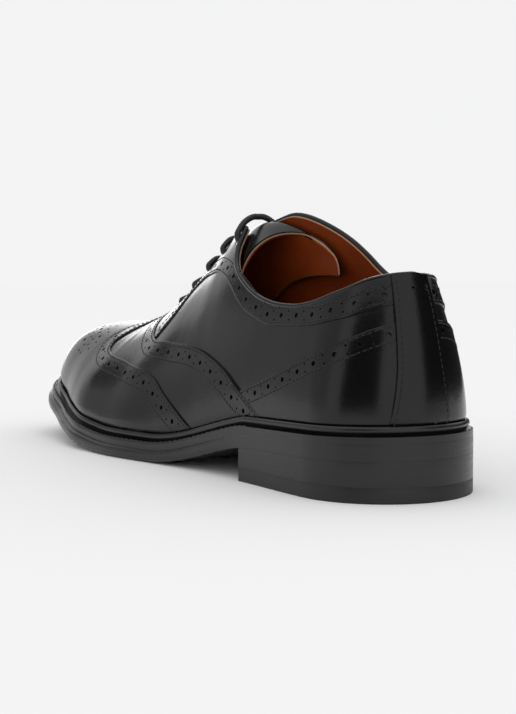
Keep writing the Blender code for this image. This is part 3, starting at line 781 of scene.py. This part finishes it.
def setNormals(piece, points, normals):
    # the smooth skin keeps the normals of the last; edges and grooves keep their own
    mesh = piece.data
    tree = KDTree(len(points))
    for i, p in enumerate(world(points)):
        tree.insert(p, i)
    tree.balance()
    origin = np.array([tree.find(v.co)[1] for v in mesh.vertices])
    corners, vertices = np.empty(len(mesh.loops) * 3), np.empty(len(mesh.loops), int)
    mesh.corner_normals.foreach_get("vector", corners)
    mesh.loops.foreach_get("vertex_index", vertices)
    wanted = normals[origin[vertices]]
    mesh.normals_split_custom_set(np.where(np.isnan(wanted), corners.reshape(-1, 3), wanted).tolist())


def overlay(name, plans, top, base, finish, nodes):
    points, faces, normals, start = [], [], [], 0
    for side, plan in plans.items():
        own, ownFaces, ownNormals = overlayHalf(side, plan, top, base)
        points.append(own)
        normals.append(ownNormals)
        faces += [tuple(i + start for i in f) for f in ownFaces]
        start += len(own)
    points = np.concatenate(points)
    setNormals(addPiece(name, points, faces, finish, nodes, 38.0), points, np.concatenate(normals))


def run(uv, kind="hidden", inside=1.0):
    return {"uv": uv, "kind": kind, "inside": inside}


def line(start, end, count):
    return np.linspace(np.array(start, float), np.array(end, float), count)


def edgeCurve(edge, low, high, shift, count):
    heights = np.linspace(low, high, count)
    return np.stack([place(along(edge, "height", heights, "station") + shift), heights], -1)


stitchList = []  # (start points, end points, normals) of every seam stitch
stitchLook = {"long": 1.75, "pitch": 2.35, "half": 0.24}


def sewLine(uv, side, seat, start=0.6, end=0.6):
    total = curveLength(uv, side)[-1]
    marks = np.arange(start, total - end - stitchLook["long"], stitchLook["pitch"])
    if len(marks) == 0:
        return
    tail, head = pointsAt(uv, side, marks), pointsAt(uv, side, marks + stitchLook["long"])
    normal = lastNormal((tail[:, 0] + head[:, 0]) / 2, (tail[:, 1] + head[:, 1]) / 2, side)
    stitchList.append((skin(tail, side, seat), skin(head, side, seat), normal))


punchLook = {"pitch": 10.6, "big": 1.02, "small": 0.46, "spread": 1.75}


def punchRow(uv, side, start, end):
    # big holes on the line, a pair of small ones between each two
    total = curveLength(uv, side)[-1]
    count = max(2, int(round((total - start - end) / punchLook["pitch"])) + 1)
    marks = np.linspace(start, total - end, count)
    between = (marks[1:] + marks[:-1]) / 2
    big = pointsAt(uv, side, marks)
    pairs = [pointsAt(offsetCurve(uv, side, s * punchLook["spread"]), side, between) for s in (1.0, -1.0)]
    return [(big, punchLook["big"]), (np.concatenate(pairs), punchLook["small"])]


brogueBand = {"outer": 1.35, "middle": 4.95, "inner": 8.6}
counterBand = {"outer": 1.2, "middle": 3.95, "inner": 6.8}
facingBandLook = {"outer": 1.1, "middle": 4.0, "inner": 7.1}


def vampPlan(side):
    low = 0.02
    rear = edgeCurve(vampEdge, low, 1.0, 0.0, 150)
    front = edgeCurve(wingEdge, low, 1.0, 6.0, 120)
    bottomTurns = np.linspace(rear[0, 0], front[0, 0], 40)
    bottom = np.stack([bottomTurns, np.maximum(lifted(bottomTurns, side, edgeLook["base"]), 0.0)], -1)
    rear[0], front[0] = bottom[0], bottom[-1]
    ridge = line(front[-1], rear[-1], 12)
    stitches = [offsetCurve(rear, side, brogueBand[k]) for k in ("outer", "inner")]
    for row in stitches:
        sewLine(row, side, seats["vamp"])
    holes = punchRow(offsetCurve(rear, side, brogueBand["middle"]), side, 3.0, 2.0)
    return {"loop": [run(bottom), run(front), run(ridge), run(rear[::-1], "free", -1.0)],
            "holes": holes, "grooves": stitches}


# Holes of the toe's medallion: ahead of its middle, beside the ridge, and whether it is a big one
medallionLook = {"middle": 246.0, "big": 0.88, "small": 0.56}
medallionSpots = (
    (4.8, 29.8, 0), (-2.3, 29.0, 0), (1.4, 27.2, 1), (6.6, 26.6, 0), (9.0, 28.4, 0), (-4.4, 26.0, 0),
    (2.6, 23.8, 0), (11.8, 23.6, 1), (-2.2, 22.6, 1), (7.0, 22.4, 0), (13.4, 20.2, 0), (9.6, 19.6, 0),
    (2.6, 19.8, 0), (-5.0, 19.2, 0), (6.0, 17.0, 1), (-0.8, 16.8, 0), (12.2, 16.2, 0), (9.4, 13.6, 1),
    (3.0, 13.4, 0), (-3.4, 13.6, 0), (14.6, 12.0, 0), (12.0, 9.6, 0), (6.0, 9.4, 1), (-0.4, 9.0, 0),
    (10.0, 6.0, 0), (2.4, 4.6, 0), (15.4, 5.6, 0), (-4.6, 4.0, 0), (6.6, 3.0, 0), (12.6, 2.6, 0),
)


def medallion(side):
    turns, heights = np.meshgrid(np.linspace(0.66, 0.995, 160), np.linspace(0.25, 0.995, 160))
    grid = skin(np.stack([turns, heights], -1), side, np.full(turns.shape, seats["wing"]))
    big, small = [], []
    for ahead, beside, isBig in medallionSpots:
        x = medallionLook["middle"] + ahead
        goal = np.array([x, along(ridgeTable, "x", x, "y") + sides[side] * beside])
        k = np.argmin(((grid[..., :2] - goal) ** 2).sum(-1))
        (big if isBig else small).append((turns.ravel()[k], heights.ravel()[k]))
    return [(np.array(big), medallionLook["big"]), (np.array(small), medallionLook["small"])]


def wingPlan(side):
    low = 0.02
    rear = edgeCurve(wingEdge, low, 1.0, 0.0, 170)
    bottomTurns = np.linspace(rear[0, 0], 1.0, 80)
    bottom = np.stack([bottomTurns, np.maximum(lifted(bottomTurns, side, edgeLook["base"]), 0.0)], -1)
    rear[0] = bottom[0]
    toe = line(bottom[-1], (1.0, 1.0), 40)
    ridge = line((1.0, 1.0), rear[-1], 40)
    stitches = [offsetCurve(rear, side, brogueBand[k]) for k in ("outer", "inner")]
    for row in stitches:
        sewLine(row, side, seats["wing"])
    holes = punchRow(offsetCurve(rear, side, brogueBand["middle"]), side, 3.0, 3.4) + medallion(side)
    return {"loop": [run(bottom), run(toe), run(ridge), run(rear[::-1], "free", -1.0)],
            "holes": holes, "grooves": stitches}


def counterPlan(side):
    turns = np.linspace(0.0, float(place(92.0)), 70)
    top = np.stack([turns, along(counterTop, "station", station(turns), "height")], -1)
    front = edgeCurve(vampEdge, 0.02, 0.13, 3.0, 20)
    bottomTurns = np.linspace(0.0, front[0, 0], 40)
    bottom = np.stack([bottomTurns, lifted(bottomTurns, side, edgeLook["base"])], -1)
    front[0], front[-1] = bottom[-1], top[-1]
    seam = line(top[0], bottom[0], 24)
    strip = stripTurn(np.array([0.3]), side)[0]
    stitches = [offsetCurve(top, side, counterBand[k]) for k in ("outer", "inner")]
    shown = [row[row[:, 0] > strip] for row in stitches]
    for row in shown:
        sewLine(row, side, seats["counter"])
    middle = offsetCurve(top, side, counterBand["middle"])
    holes = punchRow(middle[middle[:, 0] > strip], side, 2.6, 5.0)
    return {"loop": [run(bottom), run(front), run(top[::-1], "free", 1.0), run(seam)],
            "holes": holes, "grooves": shown}


def bandPlan(side):
    turns = np.linspace(0.0, float(place(178.0)), 180)
    low = np.stack([turns, along(bandEdge, "station", station(turns), "height")], -1)
    front = edgeCurve(vampEdge, 0.512, 1.0, 4.0, 50)
    front[0] = low[-1]
    topTurns = np.concatenate([toplineTurns[side][toplineTurns[side] < front[-1, 0] - 1e-3], [front[-1, 0]]])
    top = np.stack([topTurns, topline(topTurns, side)], -1)
    seam = line(top[0], low[0], 12)
    strip = stripTurn(np.array([0.42]), side)[0]
    stitches = [offsetCurve(low, side, -facingBandLook[k]) for k in ("outer", "inner")]
    shown = [row[(row[:, 0] > strip) & (row[:, 1] < topline(row[:, 0], side) - 0.012)] for row in stitches]
    for row in shown:
        sewLine(row, side, seats["band"])
    middle = offsetCurve(low, side, -facingBandLook["middle"])
    holes = punchRow(middle[middle[:, 0] > strip], side, 2.8, 2.5)
    eyelets = [(np.array([eyeletSpot(x, side) for x in laceStations]), laceLook["eyelet"])]
    return {"loop": [run(low, "free", -1.0), run(front), run(top[::-1]), run(seam)],
            "holes": holes + eyelets, "grooves": shown}


stripLook = {"seam": 1.7, "pin": 0.55, "pinUp": 0.91, "pinIn": 0.34}


def stripTurn(heights, side):
    reach = along(stripEdge, "height", heights, side)
    depth = last["heelRound"] * (1 - np.sqrt(1 - (reach / last["heelRound"]) ** 2))
    return place(last["featherStart"] + depth)


def stripPlan(side):
    low = lifted(np.array([0.0]), side, edgeLook["base"])[0]
    top = topline(np.array([0.0]), side)[0]
    heights = np.linspace(low, top, 60)
    turns = stripTurn(heights, side)
    edge = np.stack([turns, heights], -1)
    edge[-1, 1] = topline(edge[-1, 0], side)
    head = np.stack([np.linspace(edge[-1, 0], 0.0, 12), topline(np.linspace(edge[-1, 0], 0.0, 12), side)], -1)
    seam = line(head[-1], (0.0, low), 40)
    foot = line((0.0, low), edge[0], 10)
    stitches = [offsetCurve(edge, side, -stripLook["seam"])]
    sewLine(stitches[0], side, seats["strip"], 0.8, 2.0)
    spot = float(stripTurn(np.array([top * 0.9]), side)[0])
    pins = np.array([[spot * stripLook["pinIn"], top * stripLook["pinUp"]]])
    return {"loop": [run(edge, "free", -1.0), run(head), run(seam), run(foot)],
            "holes": [(pins, stripLook["pin"])], "grooves": stitches}


laceLook = {"radius": 1.4, "seat": 2.9, "sink": 1.7, "lateral": 5.4, "medial": 3.4, "eyelet": 1.55}
laceStations = (131.0, 146.0, 160.5, 175.0, 189.0)


def heightBesideRidge(turn, side, reach):
    return firstCrossing(fineHeights, fromRidge(lastPoint(turn, fineHeights, side), side) - reach)


def eyeletSpot(x, side):
    turn = ridgeTurn(x)
    return turn, heightBesideRidge(turn, side, along(facingGap, "x", x, side) + laceLook[side])


underQuarter = seats["quarter"] - 0.1
for name, node, plan, seat, base in (
        ("vamp", "vamp", vampPlan, "vamp", underQuarter),
        ("wingCap", "wing_cap", wingPlan, "wing", seats["vamp"] - 0.15),
        ("counter", "counter", counterPlan, "counter", underQuarter),
        ("facingBand", "facing_band", bandPlan, "band", underQuarter),
        ("backStrip", "back_strip", stripPlan, "strip", underQuarter)):
    plans = {side: plan(side) for side in sides}
    overlay(name, plans, seats[seat], base, finishes["leather"], [node])
print("overlays ready")


def stitchMesh(name, sets, finish, half):
    # short plump threads that dip into the leather at both ends
    starts = np.concatenate([s[0] for s in sets])
    ends = np.concatenate([s[1] for s in sets])
    normals = np.concatenate([s[2] for s in sets])
    axis = ends - starts
    across = unit(np.cross(normals, axis))
    profile = ((0.0, 0.30, -0.9), (0.14, 0.85, -0.2), (0.5, 1.0, 0.15), (0.86, 0.85, -0.2), (1.0, 0.30, -0.9))
    corners = 6
    rings = []
    for share, wide, lift in profile:
        middle = starts + axis * share + normals * (lift * half)
        for k in range(corners):
            angle = 2 * math.pi * k / corners
            rings.append(middle + half * wide * (math.cos(angle) * across + math.sin(angle) * normals))
    points = np.stack(rings, 1)
    per = points.shape[1]
    quads = []
    for ring in range(len(profile) - 1):
        for k in range(corners):
            a, b = ring * corners + k, ring * corners + (k + 1) % corners
            quads.append((a, b, b + corners, a + corners))
    quads = np.array(quads)
    faces = (np.arange(len(starts))[:, None, None] * per + quads[None]).reshape(-1, 4)
    addPiece(name, points.reshape(-1, 3), faces, finish, weld=0.0, sharp=80.0)


stitchMesh("seamStitches", stitchList, finishes["thread"], stitchLook["half"])
print("stitches ready")


def tube(path, radius, corners):
    # round tube along a path, frames carried along without twist
    tangent = unit(np.gradient(path, axis=0))
    side = unit(np.cross(tangent[0], (0.3, 0.2, 1.0)))
    points = []
    for p, t in zip(path, tangent):
        side = unit(side - t * np.dot(side, t))
        up = np.cross(t, side)
        for k in range(corners):
            angle = 2 * math.pi * k / corners
            points.append(p + radius * (math.cos(angle) * side + math.sin(angle) * up))
    faces = []
    for i in range(len(path) - 1):
        for k in range(corners):
            a, b = i * corners + k, i * corners + (k + 1) % corners
            faces.append((a, b, b + corners, a + corners))
    faces.append(tuple(range(corners))[::-1])
    faces.append(tuple(range((len(path) - 1) * corners, len(path) * corners)))
    return np.array(points), faces


def softened(path, times):
    for _ in range(times):
        middle = (path[:-1] * 0.75 + path[1:] * 0.25, path[:-1] * 0.25 + path[1:] * 0.75)
        path = np.concatenate([path[:1], np.stack(middle, 1).reshape(-1, 3), path[-1:]])
    return path


def toplinePath(seat):
    # from one end of the throat round the heel to the other
    halves = []
    for side in ("medial", "lateral"):
        turns = toplineTurns[side][toplineTurns[side] <= throatTurn + 1e-9]
        uv = np.stack([turns, topline(turns, side)], -1)
        halves.append(skin(uv, side, np.full(len(uv), seat)))
    return np.concatenate([halves[0][:0:-1], halves[1]])


def resampled(path, pitch):
    length = runLength(path)
    return pickAt(path, length, np.linspace(0, length[-1], int(length[-1] / pitch) + 1))


collarTubes = {
    "collarRoll": {"seat": 2.05, "radius": 1.2, "corners": 10, "finish": "leather", "slot": "black_leather"},
    "liningEdge": {"seat": 0.42, "radius": 0.40, "corners": 8, "finish": "liningEdge", "slot": "tan_lining"},
}
for name, look in collarTubes.items():
    path = softened(resampled(toplinePath(look["seat"]), 2.0), 2)
    points, faces = tube(path, look["radius"], look["corners"])
    addPiece(name, points, faces, finishes[look["finish"]], sharp=60.0)
print("collar ready")


tongueTable = table(
    "x lateral medial",
    (137, 21.6, 13.2), (148, 21.0, 14.5), (172, 19.8, 17.0), (209.5, 18.0, 18.0),
)
tongueLook = {"thick": 2.2, "gap": 0.75, "rows": 60, "archRows": 24, "columns": 14, "edge": 0.45}
# free edge of the tongue, an arch from the inner side to the outer
tongueArch = table(
    "share x y z",
    (0.0, 80.4, -13.3, 85.0), (0.06, 80.8, -13.2, 88.4), (0.12, 82.2, -12.7, 92.6),
    (0.19, 85.6, -11.4, 96.4), (0.27, 90.0, -10.2, 99.6), (0.36, 95.7, -8.9, 102.3),
    (0.46, 102.0, -6.8, 103.9), (0.55, 107.6, -3.9, 104.2), (0.63, 112.0, -0.4, 103.3),
    (0.785, 117.0, 7.0, 98.0), (0.93, 120.0, 11.6, 89.5), (1.0, 120.6, 12.6, 85.0),
)


def tongueSheet():
    # rows from the free edge to the vamp, columns from the inner side to the outer
    stations = np.linspace(tongueTable["x"][0], tongueTable["x"][-1], tongueLook["rows"])
    shares = np.linspace(0.0, 1.0, tongueLook["columns"] + 1)
    sheets = {}
    for side in sides:
        turns, heights = [], []
        for x, half in zip(stations, along(tongueTable, "x", stations, side)):
            turn = ridgeTurn(x)
            turns.append(np.full(len(shares), turn))
            heights.append(1.0 - (1.0 - heightBesideRidge(turn, side, half)) * shares)
        uv = np.stack([np.array(turns), np.array(heights)], -1)
        sheets[side] = skin(uv, side, np.full(uv.shape[:2], -tongueLook["gap"]))
    under = np.concatenate([sheets["medial"][:, :0:-1], sheets["lateral"]], 1)
    marks = np.linspace(0.0, 1.0, under.shape[1])
    arch = np.stack([along(tongueArch, "share", marks, axis) for axis in "xyz"], -1)
    ease = unit(under[0] - under[3]) * (np.linalg.norm(arch - under[0], axis=-1) * 0.45)[:, None]
    t = np.linspace(0.0, 1.0, tongueLook["archRows"], endpoint=False)[:, None, None]
    bridge = (1 - t) ** 2 * arch + 2 * t * (1 - t) * (under[0] + ease) + t * t * under[0]
    return np.concatenate([bridge, under])


def sheetNormals(grid):
    normals = unit(np.cross(np.gradient(grid, axis=0), np.gradient(grid, axis=1)))
    return normals if normals[-1, normals.shape[1] // 2, 2] > 0 else -normals


def sheetFaces(rows, columns, start=0, flip=False):
    faces = []
    for i in range(rows - 1):
        for j in range(columns - 1):
            a = start + i * columns + j
            quad = (a, a + 1, a + columns + 1, a + columns)
            faces.append(quad[::-1] if flip else quad)
    return faces


def rimOf(grid):
    return np.concatenate([grid[:-1, 0], grid[-1, :-1], grid[:0:-1, -1], grid[0, :0:-1]])


outside = tongueSheet()
inside = outside - tongueLook["thick"] * sheetNormals(outside)
middle = (outside + inside) / 2
for name, outerGrid, innerGrid, finish, slotName, nodes in (
        ("tongue", outside, middle, finishes["leather"], "black_leather", ["tongue"]),
        ("tongueLining", middle, inside, finishes["lining"], "tan_lining", [])):
    rows, columns = outerGrid.shape[:2]
    top, bottom = outerGrid.reshape(-1, 3), innerGrid.reshape(-1, 3)
    faces = sheetFaces(rows, columns) + sheetFaces(rows, columns, rows * columns, True)
    order = rimOf(np.arange(rows * columns).reshape(rows, columns)[..., None])[:, 0]
    for a, b in zip(order, np.roll(order, -1)):
        faces.append((int(a), int(b), int(b) + rows * columns, int(a) + rows * columns))
    facesOut(addPiece(name, np.concatenate([top, bottom]), faces, finish, nodes, 60.0))
free = tongueLook["archRows"] + 6
rim = resampled(np.concatenate([middle[free::-1, 0], middle[0, 1:-1], middle[:free + 1, -1]]), 1.5)
points, faces = tube(softened(rim, 2), tongueLook["edge"], 8)
addPiece("tongueEdge", points, faces, finishes["liningEdge"], sharp=60.0)
print("tongue ready")


def laceBar(x):
    # over the throat from eyelet to eyelet, dipping into both
    turn = ridgeTurn(x)
    half = []
    for side in sides:
        gap = along(facingGap, "x", x, side)
        reaches = np.linspace(gap + laceLook[side], 0.0, 12)
        heights = np.array([heightBesideRidge(turn, side, r) for r in reaches])
        uv = np.stack([np.full(len(heights), turn), heights], -1)
        sunk = laceLook["sink"] * np.clip(1.0 - reaches / gap, 0.0, 1.0)
        seat = laceLook["seat"] + laceLook["radius"] - sunk
        seat[0] -= 3.6
        seat[1] -= 0.9
        half.append(skin(uv, side, seat))
    return softened(np.concatenate([half[0], half[1][-2::-1]]), 2)


for number, x in enumerate(laceStations, 1):
    path = laceBar(x)
    points, faces = tube(path, laceLook["radius"], 12)
    strands = np.sin(np.arange(len(path))[:, None] * 1.9 + np.arange(12)[None, :] * math.pi / 3)
    middle = np.repeat(path[:, None, :], 12, 1).reshape(-1, 3)
    points = middle + (points - middle) * (1 + 0.05 * strands.reshape(-1, 1))
    addPiece(f"laceBar{number}", points, faces, finishes["lace"], [f"lace_bar_{number}"], 70.0)
print("lace ready")


def ring(turns, reach, height, closedToe):
    back = turns[-2:0:-1] if closedToe else turns[:0:-1]
    loop = []
    for side, part in (("lateral", turns), ("medial", back)):
        flatLine = featherLine(part, side)
        flat = flatLine + outward(part, side) * reach(flatLine[:, 0])[:, None]
        loop.append(np.column_stack([flat, height(flatLine[:, 0])]))
    return np.concatenate(loop)


# The edge is trimmed flat round the heel and rounded ahead of it
edgeRound = table("x share", (0, 0.006), (86, 0.006), (128, 1.0), (304, 1.0))


def fromEdge(inset, edge="sole"):
    return lambda x: along(marginTable, "x", x, edge) - inset * along(edgeRound, "x", x, "share")


def fromWelt(reach):
    return lambda x: np.full_like(x, reach)


def beadToEdge(share):
    return lambda x: 4.5 + share * (along(marginTable, "x", x, "welt") - 0.5 - 4.5)


def aboveSole(height):
    return lambda x: underside(x) + height


def level(height):
    return lambda x: np.full_like(x, height)


def ladder(count, first, flip):
    faces = []
    for i in range(count // 2):
        face = [first + c for c in dict.fromkeys((i, i + 1, count - i - 1, (count - i) % count))]
        faces.append(face[::-1] if flip else face)
    return faces


def ringFaces(loops, count, closed):
    faces = []
    for k in range(loops if closed else loops - 1):
        low, high = k * count, (k + 1) % loops * count
        for i in range(count):
            j = (i + 1) % count
            faces.append((low + i, high + i, high + j, low + j))
    return faces


def plate(name, loops, finish, nodes):
    count = len(loops[0])
    faces = ringFaces(len(loops), count, False) + ladder(count, 0, False)
    faces += ladder(count, (len(loops) - 1) * count, True)
    facesOut(addPiece(name, np.concatenate(loops), faces, finish, nodes))


soleTurns = np.linspace(0.0, 1.0, 181)
# inset from the edge and height above the underside, from below round to the top
outsoleSide = (
    (6.0, 0.0), (3.0, 0.0), (1.5, 0.12), (0.7, 0.55), (0.22, 1.3), (0.0, 2.3), (0.02, 3.2),
    (0.15, 4.1), (0.45, 4.75), (0.85, 5.1), (1.3, 5.3), (1.75, 5.6), (2.05, 6.2), (3.2, 6.3),
)
loops = [ring(soleTurns, fromEdge(inset), aboveSole(height), True) for inset, height in outsoleSide]
plate("outsole", loops, finishes["edge"], ["outsole"])
# flat edge, groove and bead of the welt: inset from the edge, share of the groove, reach of the bead
weltEdge = ((0.2, 5.3), (0.1, 6.1), (0.0, 7.6), (0.05, 8.5), (0.25, 8.95), (0.5, 9.1))
weltGroove = ((0.85, 9.1), (0.65, 8.8), (0.4, 8.0), (0.15, 7.5))
weltBead = (
    (4.3, 7.35), (3.6, 7.5), (3.35, 8.3), (3.5, 9.4), (4.1, 10.3), (4.55, 11.1), (4.55, 11.8), (4.2, 12.45),
    (3.75, 12.8), (3.25, 12.7), (2.9, 12.3), (2.75, 11.6), (2.6, 9.6), (-0.6, 9.1),
)
weltSide = [(fromWelt(-0.6), 5.3)]
weltSide += [(fromEdge(inset, "welt"), height) for inset, height in weltEdge]
weltSide += [(beadToEdge(share), height) for share, height in weltGroove]
weltSide += [(fromWelt(reach), height) for reach, height in weltBead]
loops = [ring(soleTurns, reach, aboveSole(height), True) for reach, height in weltSide]
faces = ringFaces(len(loops), len(loops[0]), True)
facesOut(addPiece("welt", np.concatenate(loops), faces, finishes["edge"], ["welt"]))
weltStitch = {"start": 78.0, "share": 0.8, "height": 9.1, "pitch": 3.6, "long": 2.7, "half": 0.36}
threads = []
for side in sides:
    fineTurns = np.linspace(float(place(weltStitch["start"])), 1.0, 1200)
    edgeLine = featherLine(fineTurns, side)
    seam = edgeLine + outward(fineTurns, side) * beadToEdge(weltStitch["share"])(edgeLine[:, 0])[:, None]
    seam = np.column_stack([seam, underside(edgeLine[:, 0]) + weltStitch["height"]])
    length = runLength(seam)
    marks = np.arange(1.0, length[-1] - 3.5, weltStitch["pitch"])
    tail, head = pickAt(seam, length, marks), pickAt(seam, length, marks + weltStitch["long"])
    threads.append((tail, head, np.tile((0.0, 0.0, 1.0), (len(marks), 1))))
stitchMesh("weltStitches", threads, finishes["thread"], weltStitch["half"])

heelTurns = np.linspace(0.0, float(place(sole["breast"])), 61)
topPieceSide = ((40.0, 0.0), (12.0, 0.05), (0.0, 0.4), (-4.0, 0.9), (-4.0, 5.9), (0.0, 6.0))
loops = [ring(heelTurns, fromEdge(inset), level(height), False) for inset, height in topPieceSide]
plate("heelTopPiece", loops, finishes["rubber"], ["heel_top_piece"])


def heelLevel(share):
    return lambda x: 6.05 * (1 - share) + (underside(x) - 0.05) * share


stackSide = ((0.0, 0.0), (-3.0, 0.01), (-1.0, 0.99), (0.0, 1.0))
loops = [ring(heelTurns, fromEdge(inset), heelLevel(share), False) for inset, share in stackSide]
plate("heelStack", loops, finishes["edge"], ["heel_stack"])
sockSide = ((fromWelt(-1.0), 5.5), (fromWelt(-1.0), 10.0), (fromWelt(-1.3), 10.3), (fromWelt(-1.8), 10.4),
            (fromWelt(-8.0), 10.4))
loops = [ring(soleTurns, reach, aboveSole(height), True) for reach, height in sockSide]
plate("sockLining", loops, finishes["lining"], ["insole"])
print("sole ready")


def addFloor():
    material, tree, shader = newMaterial("paleFloor")
    shader.inputs["Base Color"].default_value = (0.99, 0.99, 0.992, 1.0)
    shader.inputs["Roughness"].default_value = 0.9
    shader.inputs["Specular IOR Level"].default_value = 0.0
    mesh = bpy.data.meshes.new("floor")
    reach = 6.0
    corners = [(-reach, -reach, 0.0), (reach, -reach, 0.0), (reach, reach, 0.0), (-reach, reach, 0.0)]
    mesh.from_pydata(corners, [], [(0, 1, 2, 3)])
    mesh.materials.append(material)
    floor = bpy.data.objects.new("floor", mesh)
    bpy.context.scene.collection.objects.link(floor)


# Cards round the shoe that are seen only in the polish: direction in degrees, sizes in metres, glow
cardTable = (
    {"name": "cardA", "turn": 118.0, "wide": 1.15, "foot": 0.03, "tall": 0.9, "away": 1.25, "glow": 0.005},
    {"name": "cardB", "turn": 228.0, "wide": 1.3, "foot": 0.03, "tall": 1.0, "away": 1.25, "glow": 0.005},
    {"name": "cardC", "turn": 288.0, "wide": 1.5, "foot": 0.0, "tall": 0.45, "away": 1.1, "glow": 0.02},
    {"name": "cardD", "turn": 42.0, "wide": 1.7, "foot": 0.05, "tall": 1.25, "away": 1.4, "glow": 0.52},
    {"name": "cardE", "turn": 20.0, "wide": 0.36, "foot": 0.42, "tall": 0.5, "away": 1.2, "glow": 0.14},
    {"name": "cardF", "turn": -38.0, "wide": 1.6, "foot": 0.03, "tall": 0.7, "away": 1.5, "glow": 2.9},
)


def addCards():
    for card in cardTable:
        material, tree, shader = newMaterial(card["name"])
        shader.inputs["Base Color"].default_value = (0.0, 0.0, 0.0, 1.0)
        shader.inputs["Specular IOR Level"].default_value = 0.0
        shader.inputs["Emission Color"].default_value = (1.0, 1.0, 1.0, 1.0)
        shader.inputs["Emission Strength"].default_value = card["glow"]
        angle = math.radians(card["turn"])
        out = Vector((math.cos(angle), math.sin(angle), 0.0))
        over = Vector((-out.y, out.x, 0.0)) * card["wide"] / 2
        foot = out * card["away"] + Vector((0.08, 0.0, card["foot"]))
        lift = Vector((0.0, 0.0, card["tall"]))
        mesh = bpy.data.meshes.new(card["name"])
        corners = [foot - over, foot + over, foot + over + lift, foot - over + lift]
        mesh.from_pydata(corners, [], [(0, 1, 2, 3)])
        mesh.materials.append(material)
        piece = bpy.data.objects.new(card["name"], mesh)
        piece.visible_camera = False
        piece.visible_diffuse = False
        piece.visible_shadow = False
        bpy.context.scene.collection.objects.link(piece)


def addLight(name, place, aim, size, power):
    data = bpy.data.lights.new(name, "AREA")
    data.shape = "RECTANGLE"
    data.size, data.size_y = size
    data.energy = power
    lamp = bpy.data.objects.new(name, data)
    lamp.location = place
    lamp.rotation_mode = "QUATERNION"
    lamp.rotation_quaternion = (Vector(aim) - Vector(place)).to_track_quat("-Z", "Y")
    bpy.context.scene.collection.objects.link(lamp)


# Where the photograph was taken from; focal length, shifts to the middle of the shoe and height in its pixels
cameraLook = {
    "spot": (-0.4235, 0.3328, 0.0876), "ahead": (0.788, -0.616), "focal": 948.0, "left": 80.0, "down": 62.0,
    "tall": 714.0, "closer": 1.42, "sensor": 36.0,
}


def addCamera():
    spot = Vector(cameraLook["spot"])
    x, y = cameraLook["ahead"]
    forward, right = Vector((x, y, 0.0)), Vector((y, -x, 0.0))
    aim = forward * cameraLook["focal"] - right * cameraLook["left"]
    aim -= Vector((0.0, 0.0, 1.0)) * cameraLook["down"]
    data = bpy.data.cameras.new("camera")
    data.sensor_width = cameraLook["sensor"]
    data.lens = cameraLook["focal"] * cameraLook["closer"] / cameraLook["tall"] * cameraLook["sensor"]
    camera = bpy.data.objects.new("camera", data)
    camera.location = spot
    camera.rotation_mode = "QUATERNION"
    camera.rotation_quaternion = aim.to_track_quat("-Z", "Y")
    bpy.context.scene.collection.objects.link(camera)
    bpy.context.scene.camera = camera


addFloor()
addCards()
addLight("overhead", (-0.1, 0.2, 1.6), (0.08, 0.0, 0.0), (1.6, 1.6), 0.8)
room = bpy.data.worlds.new("room")
room.use_nodes = True
room.node_tree.nodes["Background"].inputs["Color"].default_value = (0.90, 0.90, 0.905, 1.0)
room.node_tree.nodes["Background"].inputs["Strength"].default_value = 1.0
bpy.context.scene.world = room
bpy.context.scene.view_settings.view_transform = "Standard"
addCamera()

print("scene ready")
